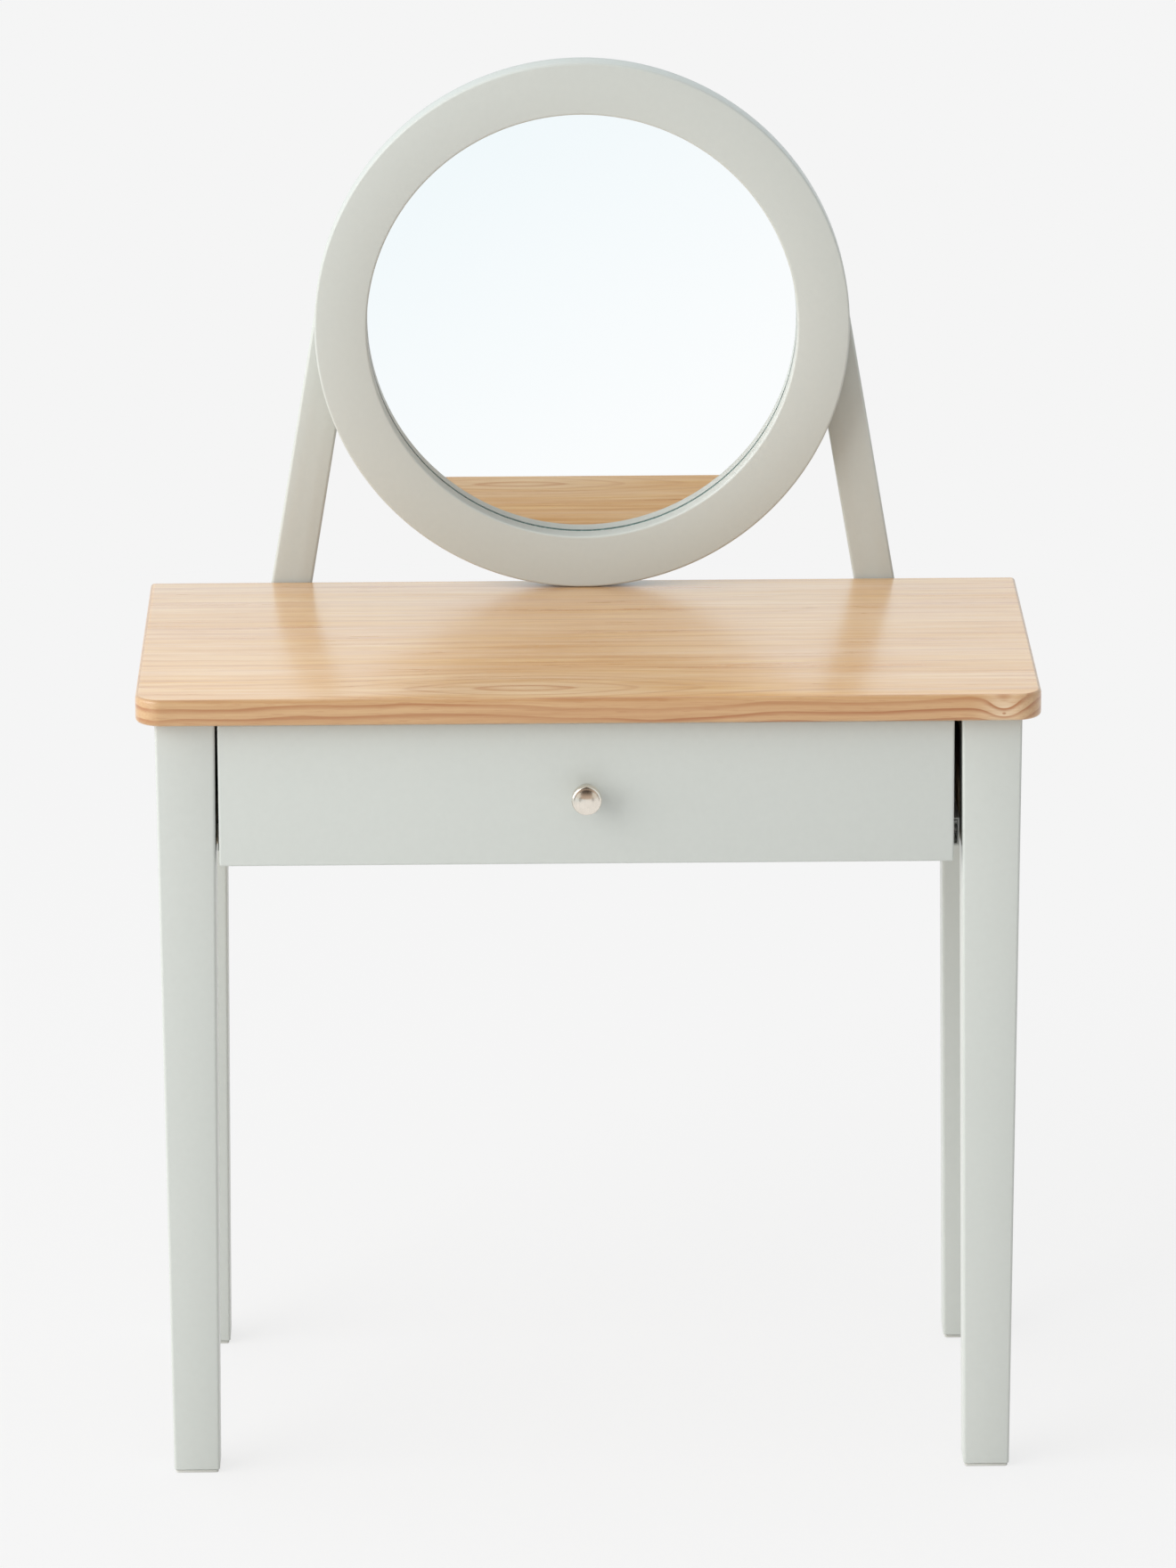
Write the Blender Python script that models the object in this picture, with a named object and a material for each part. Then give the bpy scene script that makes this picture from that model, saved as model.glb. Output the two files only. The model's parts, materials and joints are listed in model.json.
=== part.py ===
"""A child's dressing table: an oak top on four tapered legs, one drawer on roller slides, and a round
mirror in a ring between two leaning posts.

Metres, +Z up, +X to the right as seen from the front, which faces -Y. The origin is on the floor, at
the middle of the whole object's box.
"""
import math

import bmesh
import bpy
from mathutils import Matrix, Vector

# Gaps between pieces
FIT_GAP = 0.0003            # between two pieces that touch
BOLT_CLEARANCE = 0.0003     # round a screw or bolt in its hole
CUT_OVERRUN = 0.002         # how far a cutter runs past the face that it opens

# Table top
TOP_WIDTH = 0.600
TOP_DEPTH = 0.320
TOP_THICKNESS = 0.018
TABLE_HEIGHT = 0.546        # floor to the upper face
TOP_FRONT_RADIUS = 0.018    # front corners, seen from above
TOP_REAR_RADIUS = 0.003     # rear corners, seen from above
TOP_EDGE_ROUND = 0.0025     # round-over along the rims

# Legs
LEG_TOP_WIDTH = 0.040
LEG_FOOT_WIDTH = 0.031
LEG_EDGE_ROUND = 0.002
SIDE_OVERHANG = 0.0125      # top's side edge past the legs
FRONT_OVERHANG = 0.012      # top's front edge past the legs
GLIDE_THICKNESS = 0.002
GLIDE_INSET = 0.001         # glide's edge inside the foot's edge

# Aprons, battens and fixing blocks
APRON_HEIGHT = 0.095
APRON_THICKNESS = 0.018
APRON_SETBACK = 0.003       # side apron's face behind the legs' outer faces
BATTEN_HEIGHT = 0.040
BLOCK_LENGTH = 0.040
BLOCK_WIDTH = 0.018
BLOCK_HEIGHT = 0.022
BLOCK_END_GAP = 0.012       # from the leg to the block
CAM_RADIUS = 0.0075
CAM_DEPTH = 0.012
CAM_FROM_END = 0.024        # cam's centre from the leg

# Drawer front and knob
PANEL_THICKNESS = 0.018
PANEL_LEFT_GAP = 0.0016     # to the left leg
PANEL_RIGHT_GAP = 0.0050    # to the right leg
PANEL_TOP_GAP = 0.002
PANEL_OVERLAP = 0.0042      # panel's lower edge below the aprons'
PANEL_EDGE_ROUND = 0.0015
KNOB_LENGTH = 0.021
KNOB_HEAD_RADIUS = 0.010
KNOB_HEAD_THICKNESS = 0.0062    # at its rim
KNOB_RIM_ROUND = 0.0014
KNOB_CROWN = 0.0006         # rise of the face from rim to middle
KNOB_FLARE = 0.006          # length over which the neck widens
KNOB_NECK_RADIUS = 0.0048
KNOB_FOOT_RADIUS = 0.0068
KNOB_FOOT_HEIGHT = 0.0016
KNOB_SCREW_RADIUS = 0.002
KNOB_SCREW_REACH = 0.010    # thread inside the knob
KNOB_SCREW_HEAD_RADIUS = 0.004
KNOB_SCREW_HEAD_HEIGHT = 0.002

# Drawer box
BOX_SIDE_THICKNESS = 0.012
BOX_SIDE_RISE = 0.0048      # sides' lower edge above the aprons'
BOX_TOP_DROP = 0.0105       # sides' upper edge below the panel's
BOX_REAR_GAP = 0.0217       # box to the rear apron
BOX_BACK_THICKNESS = 0.012
BOX_BACK_DROP = 0.006       # back's upper edge below the sides'
BOX_BOTTOM_THICKNESS = 0.004
GROOVE_DEPTH = 0.005
GROOVE_RISE = 0.008         # groove above the sides' lower edge

# Roller slides
SLIDE_SPACE = 0.0125        # between the batten and the drawer side
RAIL_STEEL = 0.0012
RAIL_FRONT_GAP = 0.002      # rails' front ends behind the drawer front
RAIL_REAR_GAP = 0.020       # cabinet rail to the rear apron
DRAWER_RAIL_INSET = 0.0043  # drawer rail's end in front of the box's rear face
RAIL_RISE = 0.0013          # cabinet rail's lower face above the aprons' lower edge
TRACK_GAP = 0.0012          # cabinet rail's lower flange to the drawer rail
CATCH_WIDTH = 0.004         # cabinet rail's upper lip, with its web
CATCH_GAP = 0.0008          # between that lip and the drawer rail's flange
FLANGE_GAP = 0.002          # drawer rail's flange to the cabinet rail's plane
WRAP_WIDTH = 0.010          # drawer rail's flange under the drawer side
ROLLER_RADIUS = 0.007
ROLLER_SIDE_ROOM = 0.00175  # between a roller and the web beside it
ROLLER_FROM_END = 0.012     # roller's axis from its rail's end
RIVET_RADIUS = 0.0025
RIVET_HEAD_RADIUS = 0.0036
RIVET_HEAD_HEIGHT = 0.0008

# Mirror
RING_RADIUS = 0.184
RING_OPENING_RADIUS = 0.148
RING_THICKNESS = 0.022
RING_EDGE_ROUND = 0.0015
REBATE_WIDTH = 0.008        # how far the glass laps behind the ring
GLASS_THICKNESS = 0.003
BACKING_THICKNESS = 0.0025

# Posts
POST_WIDTH = 0.028
POST_THICKNESS = 0.015
POST_FOOT_INSET = 0.0423    # from the leg's inner face to its middle, at the apron's upper edge
POST_BAND_OFFSET = 0.001    # outside the middle of the ring's rear face, at its centre's height
POST_ABOVE_CENTRE = 0.016   # post's end above the ring's centre
POST_FOOT_RISE = 0.006      # post's end above the rear apron's lower edge
POST_EDGE_ROUND = 0.002

# Bolts, clips and their screws
BOLT_RADIUS = 0.0025
BOLT_HEAD_RADIUS = 0.005
BOLT_HEAD_HEIGHT = 0.0028
RING_BOLT_REACH = 0.010     # thread inside the ring
RING_BOLT_RISE = 0.010      # upper bolt above the ring's centre
RING_BOLT_DROP = 0.020      # lower bolt below it
APRON_BOLT_REACH = 0.012    # thread inside the rear apron
APRON_BOLT_INSET = 0.018    # from the rear apron's upper and lower edges
CLIP_LENGTH = 0.026
CLIP_WIDTH = 0.012
CLIP_STEEL = 0.0012
CLIP_OVERLAP = 0.007        # clip past the rebate's edge
CLIP_SCREW_RADIUS = 0.0016
CLIP_SCREW_HEAD_RADIUS = 0.0032
CLIP_SCREW_HEAD_HEIGHT = 0.0018
CLIP_SCREW_REACH = 0.009
CLIP_ANGLES_DEG = (90.0, 216.0, 324.0)
HOLE_SPARE_DEPTH = 0.001    # blind hole past the screw's end
SCREW_RIM_HEIGHT_SHARE = 0.5        # straight side of a head, of its height
SCREW_CROWN_HEIGHT_SHARE = 0.9
SCREW_CROWN_RADIUS_SHARE = 0.75

# Facets
SCREW_STEPS = 16
ROUND_STEPS = 32
KNOB_STEPS = 32
KNOB_FLARE_STEPS = 4
KNOB_CROWN_STEPS = 3
RING_STEPS = 96
TOP_CORNER_STEPS = 8
EDGE_STEPS = 2              # across a rounded edge
SHARP_ANGLE_DEG = 35.0      # sharper edges aren't shaded smooth
STEEP_SHARE = 0.9           # an edge rises when this much of its length is height
ARC_SHARE = 0.5             # a bevel's profile when it is a true arc

# Colours, roughness and metallic value
PAINT = ("painted_wood", (0.576, 0.580, 0.521), 0.45, 0.0)
OAK = ("oak", (0.640, 0.440, 0.262), 0.50, 0.0)
BIRCH = ("drawer_birch", (0.700, 0.560, 0.390), 0.60, 0.0)
HARDBOARD = ("hardboard", (0.300, 0.190, 0.110), 0.80, 0.0)
NICKEL = ("brushed_nickel", (0.620, 0.600, 0.570), 0.30, 1.0)
ZINC = ("zinc_steel", (0.620, 0.630, 0.640), 0.35, 1.0)
ENAMEL = ("slide_enamel", (0.720, 0.730, 0.690), 0.40, 0.0)
NYLON = ("roller_nylon", (0.800, 0.800, 0.780), 0.50, 0.0)
SILVER = ("mirror_silver", (0.900, 0.920, 0.920), 0.02, 1.0)
PAD = ("glide_pad", (0.250, 0.245, 0.220), 0.90, 0.0)

# Places of the top and its legs
rear_reach = FIT_GAP + POST_THICKNESS + FIT_GAP + BOLT_HEAD_HEIGHT
front_reach = FIT_GAP + KNOB_LENGTH - FRONT_OVERHANG
y_top_front = -(TOP_DEPTH + rear_reach - front_reach) / 2
y_top_rear = y_top_front + TOP_DEPTH
top_underside = TABLE_HEIGHT - TOP_THICKNESS
leg_foot_z = GLIDE_THICKNESS + FIT_GAP
leg_top_z = top_underside - FIT_GAP
leg_x = TOP_WIDTH / 2 - SIDE_OVERHANG - LEG_TOP_WIDTH / 2
leg_front_y = y_top_front + FRONT_OVERHANG + LEG_TOP_WIDTH / 2
leg_rear_y = y_top_rear - LEG_TOP_WIDTH / 2
rail_plane = leg_x - LEG_TOP_WIDTH / 2

# Places of the aprons and what is fixed to them
apron_top_z = leg_top_z
apron_bottom_z = apron_top_z - APRON_HEIGHT
side_apron_outer = leg_x + LEG_TOP_WIDTH / 2 - APRON_SETBACK
side_apron_inner = side_apron_outer - APRON_THICKNESS
rear_apron_inner_y = y_top_rear - APRON_THICKNESS
side_bay_front_y = leg_front_y + LEG_TOP_WIDTH / 2
side_bay_rear_y = leg_rear_y - LEG_TOP_WIDTH / 2
batten_top_z = apron_bottom_z + BATTEN_HEIGHT
block_bottom_z = leg_top_z - BLOCK_HEIGHT
cam_z = (batten_top_z + block_bottom_z) / 2

# Places of the drawer
panel_front_y = y_top_front + FRONT_OVERHANG
panel_back_y = panel_front_y + PANEL_THICKNESS
panel_left_x = PANEL_LEFT_GAP - rail_plane
panel_right_x = rail_plane - PANEL_RIGHT_GAP
panel_top_z = top_underside - PANEL_TOP_GAP
panel_bottom_z = apron_bottom_z - PANEL_OVERLAP
knob_x = (panel_left_x + panel_right_x) / 2
knob_z = (panel_top_z + panel_bottom_z) / 2
box_outer = rail_plane - SLIDE_SPACE
box_inner = box_outer - BOX_SIDE_THICKNESS
box_front_y = panel_back_y + FIT_GAP
box_rear_y = rear_apron_inner_y - BOX_REAR_GAP
box_bottom_z = apron_bottom_z + BOX_SIDE_RISE
box_top_z = panel_top_z - BOX_TOP_DROP
groove_low_z = box_bottom_z + GROOVE_RISE
groove_high_z = groove_low_z + BOX_BOTTOM_THICKNESS + 2 * FIT_GAP

# Places of the slides
rail_front_y = panel_back_y + RAIL_FRONT_GAP
cabinet_rail_rear_y = rear_apron_inner_y - RAIL_REAR_GAP
drawer_rail_rear_y = box_rear_y - DRAWER_RAIL_INSET
cabinet_web = rail_plane - FIT_GAP - RAIL_STEEL
drawer_web = box_outer + FIT_GAP + RAIL_STEEL
track_z = apron_bottom_z + RAIL_RISE + RAIL_STEEL
roller_x = rail_plane - SLIDE_SPACE / 2
roller_z = track_z + FIT_GAP + ROLLER_RADIUS
roller_width = cabinet_web - drawer_web - 2 * ROLLER_SIDE_ROOM
cabinet_roller_y = rail_front_y + ROLLER_FROM_END
drawer_roller_y = drawer_rail_rear_y - ROLLER_FROM_END
flange_z = roller_z + ROLLER_RADIUS + FIT_GAP

# Places of the mirror and its posts
ring_z = TABLE_HEIGHT + FIT_GAP + RING_RADIUS
ring_back_y = y_top_rear
rebate_radius = RING_OPENING_RADIUS + REBATE_WIDTH
band_radius = (RING_RADIUS + rebate_radius) / 2
backing_front_y = ring_back_y - BACKING_THICKNESS
glass_front_y = backing_front_y - FIT_GAP - GLASS_THICKNESS
rebate_y = glass_front_y - FIT_GAP
post_front_y = y_top_rear + FIT_GAP
post_back_y = post_front_y + POST_THICKNESS
post_head_x = band_radius + POST_BAND_OFFSET
post_slope = (rail_plane - POST_FOOT_INSET - post_head_x) / (ring_z - apron_top_z)


def clear_scene():
    """Removes every object of the opened file."""
    for old in list(bpy.data.objects):
        bpy.data.objects.remove(old)


def material(finish):
    """The material of a finish, made once and shared."""
    name, colour, roughness, metallic = finish
    found = bpy.data.materials.get(name)
    if found is not None:
        return found
    made = bpy.data.materials.new(name)
    made.use_nodes = True
    shader = made.node_tree.nodes["Principled BSDF"]
    shader.inputs["Base Color"].default_value = (*colour, 1.0)
    shader.inputs["Roughness"].default_value = roughness
    shader.inputs["Metallic"].default_value = metallic
    made.diffuse_color = (*colour, 1.0)
    return made


def add_object(name, bm, finish, smooth=False):
    """An object from a bmesh whose faces are turned outwards."""
    bmesh.ops.recalc_face_normals(bm, faces=bm.faces[:])
    mesh = bpy.data.meshes.new(name)
    bm.to_mesh(mesh)
    bm.free()
    if smooth:
        mesh.shade_smooth()
        mesh.set_sharp_from_angle(angle=math.radians(SHARP_ANGLE_DEG))
    made = bpy.data.objects.new(name, mesh)
    made.data.materials.append(material(finish))
    bpy.context.collection.objects.link(made)
    return made


def gather(name, place, members):
    """Parents the members, where they are, to an empty at a place."""
    empty = bpy.data.objects.new(name, None)
    empty.location = place
    bpy.context.collection.objects.link(empty)
    for member in members:
        member.parent = empty
        member.matrix_parent_inverse = Matrix.Translation(place).inverted()


def add_block(bm, low, high):
    """A box between two corners, added to bm."""
    size = Vector(high) - Vector(low)
    middle = (Vector(high) + Vector(low)) / 2
    place = Matrix.Translation(middle) @ Matrix.Diagonal((*size, 1.0))
    return bmesh.ops.create_cube(bm, size=1.0, matrix=place)["verts"]


def add_loft(bm, lower, upper):
    """A closed solid between two outlines with as many points."""
    low = [bm.verts.new(p) for p in lower]
    high = [bm.verts.new(p) for p in upper]
    bm.faces.new(low[::-1])
    bm.faces.new(high)
    for i in range(len(low)):
        j = (i + 1) % len(low)
        bm.faces.new((low[i], low[j], high[j], high[i]))


def round_edges(bm, radius, wanted):
    """Rounds the edges that the test wanted picks."""
    bm.normal_update()
    edges = [e for e in bm.edges if wanted(e)]
    bmesh.ops.bevel(bm, geom=edges, offset=radius, segments=EDGE_STEPS, profile=ARC_SHARE,
                    affect="EDGES", clamp_overlap=True)


def rises(edge):
    """True for an edge that runs mostly upwards."""
    way = edge.verts[1].co - edge.verts[0].co
    return abs(way.z) > STEEP_SHARE * way.length


def circle(radius, height, steps, place):
    """The points of a circle about local Z, or its middle alone when the radius is zero."""
    if radius == 0:
        return [place @ Vector((0, 0, height))]
    angles = [2 * math.pi * i / steps for i in range(steps)]
    return [place @ Vector((radius * math.cos(a), radius * math.sin(a), height)) for a in angles]


def join_rings(bm, rings, steps):
    """Faces between rings of points, where a ring of one point is a pole."""
    for one, two in zip(rings, rings[1:]):
        for i in range(steps):
            j = (i + 1) % steps
            corners = [one[i % len(one)], one[j % len(one)], two[j % len(two)], two[i % len(two)]]
            bm.faces.new(list(dict.fromkeys(corners)))


def turned(bm, profile, steps, place, closed=False):
    """A solid of revolution about local Z from (radius, height) pairs.

    The profile runs from axis to axis, or round the section of a ring when it is closed.
    """
    rings = []
    for radius, height in profile:
        rings.append([bm.verts.new(point) for point in circle(radius, height, steps, place)])
    if closed:
        rings.append(rings[0])
    join_rings(bm, rings, steps)


def facing(origin, direction):
    """A frame at origin whose local Z points along direction."""
    turn = Vector(direction).to_track_quat("Z", "Y").to_matrix().to_4x4()
    return Matrix.Translation(origin) @ turn


def quarter_turn(steps):
    """Angles across a quarter of a circle, both ends included."""
    return [math.pi / 2 * i / steps for i in range(steps + 1)]


def corner(centre, radius, start_deg, steps):
    """Points along a quarter circle that starts at an angle, both ends included."""
    angles = [math.radians(start_deg) + a for a in quarter_turn(steps)]
    return [(centre[0] + radius * math.cos(a), centre[1] + radius * math.sin(a)) for a in angles]


def combine(target, tool_bm, operation):
    """Cuts the shapes in tool_bm out of the target, or joins them to it."""
    bmesh.ops.recalc_face_normals(tool_bm, faces=tool_bm.faces[:])
    name = target.name + "_" + operation.lower()
    mesh = bpy.data.meshes.new(name)
    tool_bm.to_mesh(mesh)
    tool_bm.free()
    tool = bpy.data.objects.new(name, mesh)
    bpy.context.collection.objects.link(tool)
    tool.hide_render = True
    tool.display_type = "WIRE"
    modifier = target.modifiers.new(operation.lower(), "BOOLEAN")
    modifier.operation = operation
    modifier.solver = "EXACT"
    modifier.object = tool


def cut(target, cutter_bm):
    """Cuts the shapes in cutter_bm out of the target."""
    combine(target, cutter_bm, "DIFFERENCE")


def add_hole(bm, mouth, direction, radius, depth, steps=SCREW_STEPS):
    """A round cutter that starts before its mouth and runs depth along direction."""
    profile = [(0, -CUT_OVERRUN), (radius, -CUT_OVERRUN), (radius, depth), (0, depth)]
    turned(bm, profile, steps, facing(mouth, direction))


def make_screw(name, seat, direction, radius, length, head_radius, head_height):
    """A screw with a rounded head. The seat is the point under its head, on its axis."""
    profile = [
        (0, length),
        (radius, length),
        (radius, 0),
        (head_radius, 0),
        (head_radius, -head_height * SCREW_RIM_HEIGHT_SHARE),
        (head_radius * SCREW_CROWN_RADIUS_SHARE, -head_height * SCREW_CROWN_HEIGHT_SHARE),
        (0, -head_height),
    ]
    bm = bmesh.new()
    turned(bm, profile, SCREW_STEPS, facing(seat, direction))
    return add_object(name, bm, ZINC, smooth=True)


def side_name(side):
    """The word for a side: -1 is left and 1 is right."""
    return "left" if side < 0 else "right"


def span(side, one, two):
    """The lower and the higher x of a stretch whose ends are measured from the centre line."""
    return sorted((side * one, side * two))


def leg_width(z):
    """A leg's width at a height, from its straight taper."""
    share = (z - leg_foot_z) / (leg_top_z - leg_foot_z)
    return LEG_FOOT_WIDTH + (LEG_TOP_WIDTH - LEG_FOOT_WIDTH) * share


def square(centre, width, z):
    """The corners of a level square."""
    half = width / 2
    x, y = centre
    return [(x - half, y - half, z), (x + half, y - half, z), (x + half, y + half, z),
            (x - half, y + half, z)]


def make_top():
    """The oak board, with rounded front corners and rounded rims."""
    half = TOP_WIDTH / 2
    front, rear = TOP_FRONT_RADIUS, TOP_REAR_RADIUS
    outline = corner((-half + front, y_top_front + front), front, 180, TOP_CORNER_STEPS)
    outline += corner((half - front, y_top_front + front), front, 270, TOP_CORNER_STEPS)
    outline += corner((half - rear, y_top_rear - rear), rear, 0, EDGE_STEPS)
    outline += corner((-half + rear, y_top_rear - rear), rear, 90, EDGE_STEPS)
    bm = bmesh.new()
    add_loft(bm, [(x, y, top_underside) for x, y in outline], [(x, y, TABLE_HEIGHT) for x, y in outline])
    round_edges(bm, TOP_EDGE_ROUND, lambda e: not rises(e))
    add_object("table_top", bm, OAK, smooth=True)


def make_leg(name, centre):
    """A square leg that tapers evenly on its four sides."""
    bm = bmesh.new()
    add_loft(bm, square(centre, LEG_FOOT_WIDTH, leg_foot_z), square(centre, LEG_TOP_WIDTH, leg_top_z))
    round_edges(bm, LEG_EDGE_ROUND, rises)
    add_object("leg_" + name, bm, PAINT, smooth=True)


def make_glide(name, centre):
    """The pad under a foot."""
    width = LEG_FOOT_WIDTH - 2 * GLIDE_INSET
    bm = bmesh.new()
    add_loft(bm, square(centre, width, 0), square(centre, width, GLIDE_THICKNESS))
    round_edges(bm, LEG_EDGE_ROUND, rises)
    add_object("glide_" + name, bm, PAD)


def side_cam_places(side):
    """Where a side apron's cams open, on its inner face, front one first."""
    front, rear = side_bay_front_y + CAM_FROM_END, side_bay_rear_y - CAM_FROM_END
    return [Vector((side * side_apron_inner, y, cam_z)) for y in (front, rear)]


def rear_cam_places():
    """Where the rear apron's cams open, on its inner face, left one first."""
    return [Vector((side * (rail_plane - CAM_FROM_END), rear_apron_inner_y, cam_z)) for side in (-1, 1)]


def make_cam(name, mouth, direction):
    """A round cam fastener, flush in its pocket."""
    bm = bmesh.new()
    profile = [(0, 0), (CAM_RADIUS, 0), (CAM_RADIUS, CAM_DEPTH), (0, CAM_DEPTH)]
    turned(bm, profile, ROUND_STEPS, facing(mouth, direction))
    add_object(name, bm, ZINC, smooth=True)


def make_side_apron(side):
    """The board between a front and a rear leg. Its ends follow the legs' taper."""
    bm = bmesh.new()
    low_x, high_x = span(side, side_apron_inner, side_apron_outer)
    outlines = []
    for z in (apron_bottom_z, apron_top_z):
        front = leg_front_y + leg_width(z) / 2 + FIT_GAP
        rear = leg_rear_y - leg_width(z) / 2 - FIT_GAP
        outlines.append([(low_x, front, z), (high_x, front, z), (high_x, rear, z), (low_x, rear, z)])
    add_loft(bm, *outlines)
    apron = add_object("apron_" + side_name(side), bm, PAINT)
    holes = bmesh.new()
    for centre in side_cam_places(side):
        add_hole(holes, centre, (side, 0, 0), CAM_RADIUS + FIT_GAP, CAM_DEPTH + FIT_GAP, ROUND_STEPS)
    cut(apron, holes)


def make_rear_apron():
    """The board between the rear legs, level with the top's rear edge."""
    bm = bmesh.new()
    front, rear = rear_apron_inner_y, y_top_rear
    outlines = []
    for z in (apron_bottom_z, apron_top_z):
        half = leg_x - leg_width(z) / 2 - FIT_GAP
        outlines.append([(-half, front, z), (half, front, z), (half, rear, z), (-half, rear, z)])
    add_loft(bm, *outlines)
    apron = add_object("apron_rear", bm, PAINT)
    holes = bmesh.new()
    for centre in rear_cam_places():
        add_hole(holes, centre, (0, 1, 0), CAM_RADIUS + FIT_GAP, CAM_DEPTH + FIT_GAP, ROUND_STEPS)
    for side in (-1, 1):
        for x, z in apron_bolt_places(side):
            add_hole(holes, (x, rear, z), (0, -1, 0), BOLT_RADIUS + BOLT_CLEARANCE,
                     APRON_BOLT_REACH + HOLE_SPARE_DEPTH)
    cut(apron, holes)


def make_batten(side):
    """The strip that brings a slide level with the legs' inner faces."""
    low_x, high_x = span(side, rail_plane, side_apron_inner - FIT_GAP)
    bm = bmesh.new()
    add_block(bm, (low_x, side_bay_front_y + FIT_GAP, apron_bottom_z),
              (high_x, side_bay_rear_y - FIT_GAP, batten_top_z))
    add_object("slide_batten_" + side_name(side), bm, BIRCH)


def make_blocks(side):
    """The blocks glued in the corner between a side apron and the top."""
    outer = side_apron_inner - FIT_GAP
    low_x, high_x = span(side, outer - BLOCK_WIDTH, outer)
    starts = (("front_", side_bay_front_y + BLOCK_END_GAP),
              ("rear_", side_bay_rear_y - BLOCK_END_GAP - BLOCK_LENGTH))
    for place, start in starts:
        bm = bmesh.new()
        add_block(bm, (low_x, start, block_bottom_z), (high_x, start + BLOCK_LENGTH, leg_top_z))
        add_object("top_block_" + place + side_name(side), bm, BIRCH)


def make_drawer_front():
    """The painted panel, with the groove for the drawer's bottom and the hole for the knob's screw."""
    bm = bmesh.new()
    add_block(bm, (panel_left_x, panel_front_y, panel_bottom_z), (panel_right_x, panel_back_y, panel_top_z))
    round_edges(bm, PANEL_EDGE_ROUND, lambda e: True)
    panel = add_object("drawer_front", bm, PAINT, smooth=True)
    cuts = bmesh.new()
    reach = box_inner + GROOVE_DEPTH
    add_block(cuts, (-reach, panel_back_y - GROOVE_DEPTH, groove_low_z),
              (reach, panel_back_y + CUT_OVERRUN, groove_high_z))
    add_hole(cuts, (knob_x, panel_back_y, knob_z), (0, -1, 0), KNOB_SCREW_RADIUS + BOLT_CLEARANCE,
             PANEL_THICKNESS + CUT_OVERRUN)
    cut(panel, cuts)
    return panel


def knob_profile():
    """The knob's outline from its foot to the middle of its face: (radius, height) pairs."""
    head, neck, rim = KNOB_HEAD_RADIUS, KNOB_NECK_RADIUS, KNOB_RIM_ROUND
    face = KNOB_LENGTH - KNOB_CROWN
    under = face - KNOB_HEAD_THICKNESS
    outline = [(0, 0), (KNOB_FOOT_RADIUS, 0), (KNOB_FOOT_RADIUS, KNOB_FOOT_HEIGHT), (neck, KNOB_FOOT_HEIGHT)]
    for a in quarter_turn(KNOB_FLARE_STEPS):
        outline.append((neck + (head - neck) * (1 - math.cos(a)), under - KNOB_FLARE * (1 - math.sin(a))))
    for a in quarter_turn(EDGE_STEPS):
        outline.append((head - rim + rim * math.cos(a), face - rim + rim * math.sin(a)))
    for i in range(1, KNOB_CROWN_STEPS + 1):
        outward = 1 - i / KNOB_CROWN_STEPS
        outline.append(((head - rim) * outward, face + KNOB_CROWN * (1 - outward ** 2)))
    return outline


def make_knob():
    """The round knob: a foot, a flaring neck and a nearly flat face, bored for its screw."""
    seat = (knob_x, panel_front_y - FIT_GAP, knob_z)
    bm = bmesh.new()
    turned(bm, knob_profile(), KNOB_STEPS, facing(seat, (0, -1, 0)))
    knob = add_object("knob", bm, NICKEL, smooth=True)
    hole = bmesh.new()
    add_hole(hole, seat, (0, -1, 0), KNOB_SCREW_RADIUS + BOLT_CLEARANCE, KNOB_SCREW_REACH + HOLE_SPARE_DEPTH)
    cut(knob, hole)
    return knob


def make_knob_screw():
    """The screw from inside the drawer, through the front, into the knob."""
    seat = (knob_x, panel_back_y + FIT_GAP, knob_z)
    length = PANEL_THICKNESS + 2 * FIT_GAP + KNOB_SCREW_REACH
    return make_screw("knob_screw", seat, (0, -1, 0), KNOB_SCREW_RADIUS, length, KNOB_SCREW_HEAD_RADIUS,
                      KNOB_SCREW_HEAD_HEIGHT)


def make_drawer_side(side):
    """A drawer side, whose groove runs from end to end."""
    inner, outer, notch = box_inner, box_outer, box_inner + GROOVE_DEPTH
    outline = [(outer, box_bottom_z), (outer, box_top_z), (inner, box_top_z), (inner, groove_high_z),
               (notch, groove_high_z), (notch, groove_low_z), (inner, groove_low_z),
               (inner, box_bottom_z)]
    bm = bmesh.new()
    add_loft(bm, [(side * x, box_front_y, z) for x, z in outline],
             [(side * x, box_rear_y, z) for x, z in outline])
    return add_object("drawer_side_" + side_name(side), bm, BIRCH)


def make_drawer_back():
    """The drawer's back, between its sides, with the groove for the bottom."""
    half = box_inner - FIT_GAP
    front, rear = box_rear_y - BOX_BACK_THICKNESS, box_rear_y
    notch = front + GROOVE_DEPTH
    top = box_top_z - BOX_BACK_DROP
    outline = [(rear, box_bottom_z), (rear, top), (front, top), (front, groove_high_z),
               (notch, groove_high_z), (notch, groove_low_z), (front, groove_low_z),
               (front, box_bottom_z)]
    bm = bmesh.new()
    add_loft(bm, [(-half, y, z) for y, z in outline], [(half, y, z) for y, z in outline])
    return add_object("drawer_back", bm, BIRCH)


def make_drawer_bottom():
    """The thin board in the grooves."""
    half = box_inner + GROOVE_DEPTH - FIT_GAP
    front = panel_back_y - GROOVE_DEPTH + FIT_GAP
    rear = box_rear_y - BOX_BACK_THICKNESS + GROOVE_DEPTH - FIT_GAP
    low = groove_low_z + FIT_GAP
    bm = bmesh.new()
    add_block(bm, (-half, front, low), (half, rear, low + BOX_BOTTOM_THICKNESS))
    return add_object("drawer_bottom", bm, BIRCH)


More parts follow.
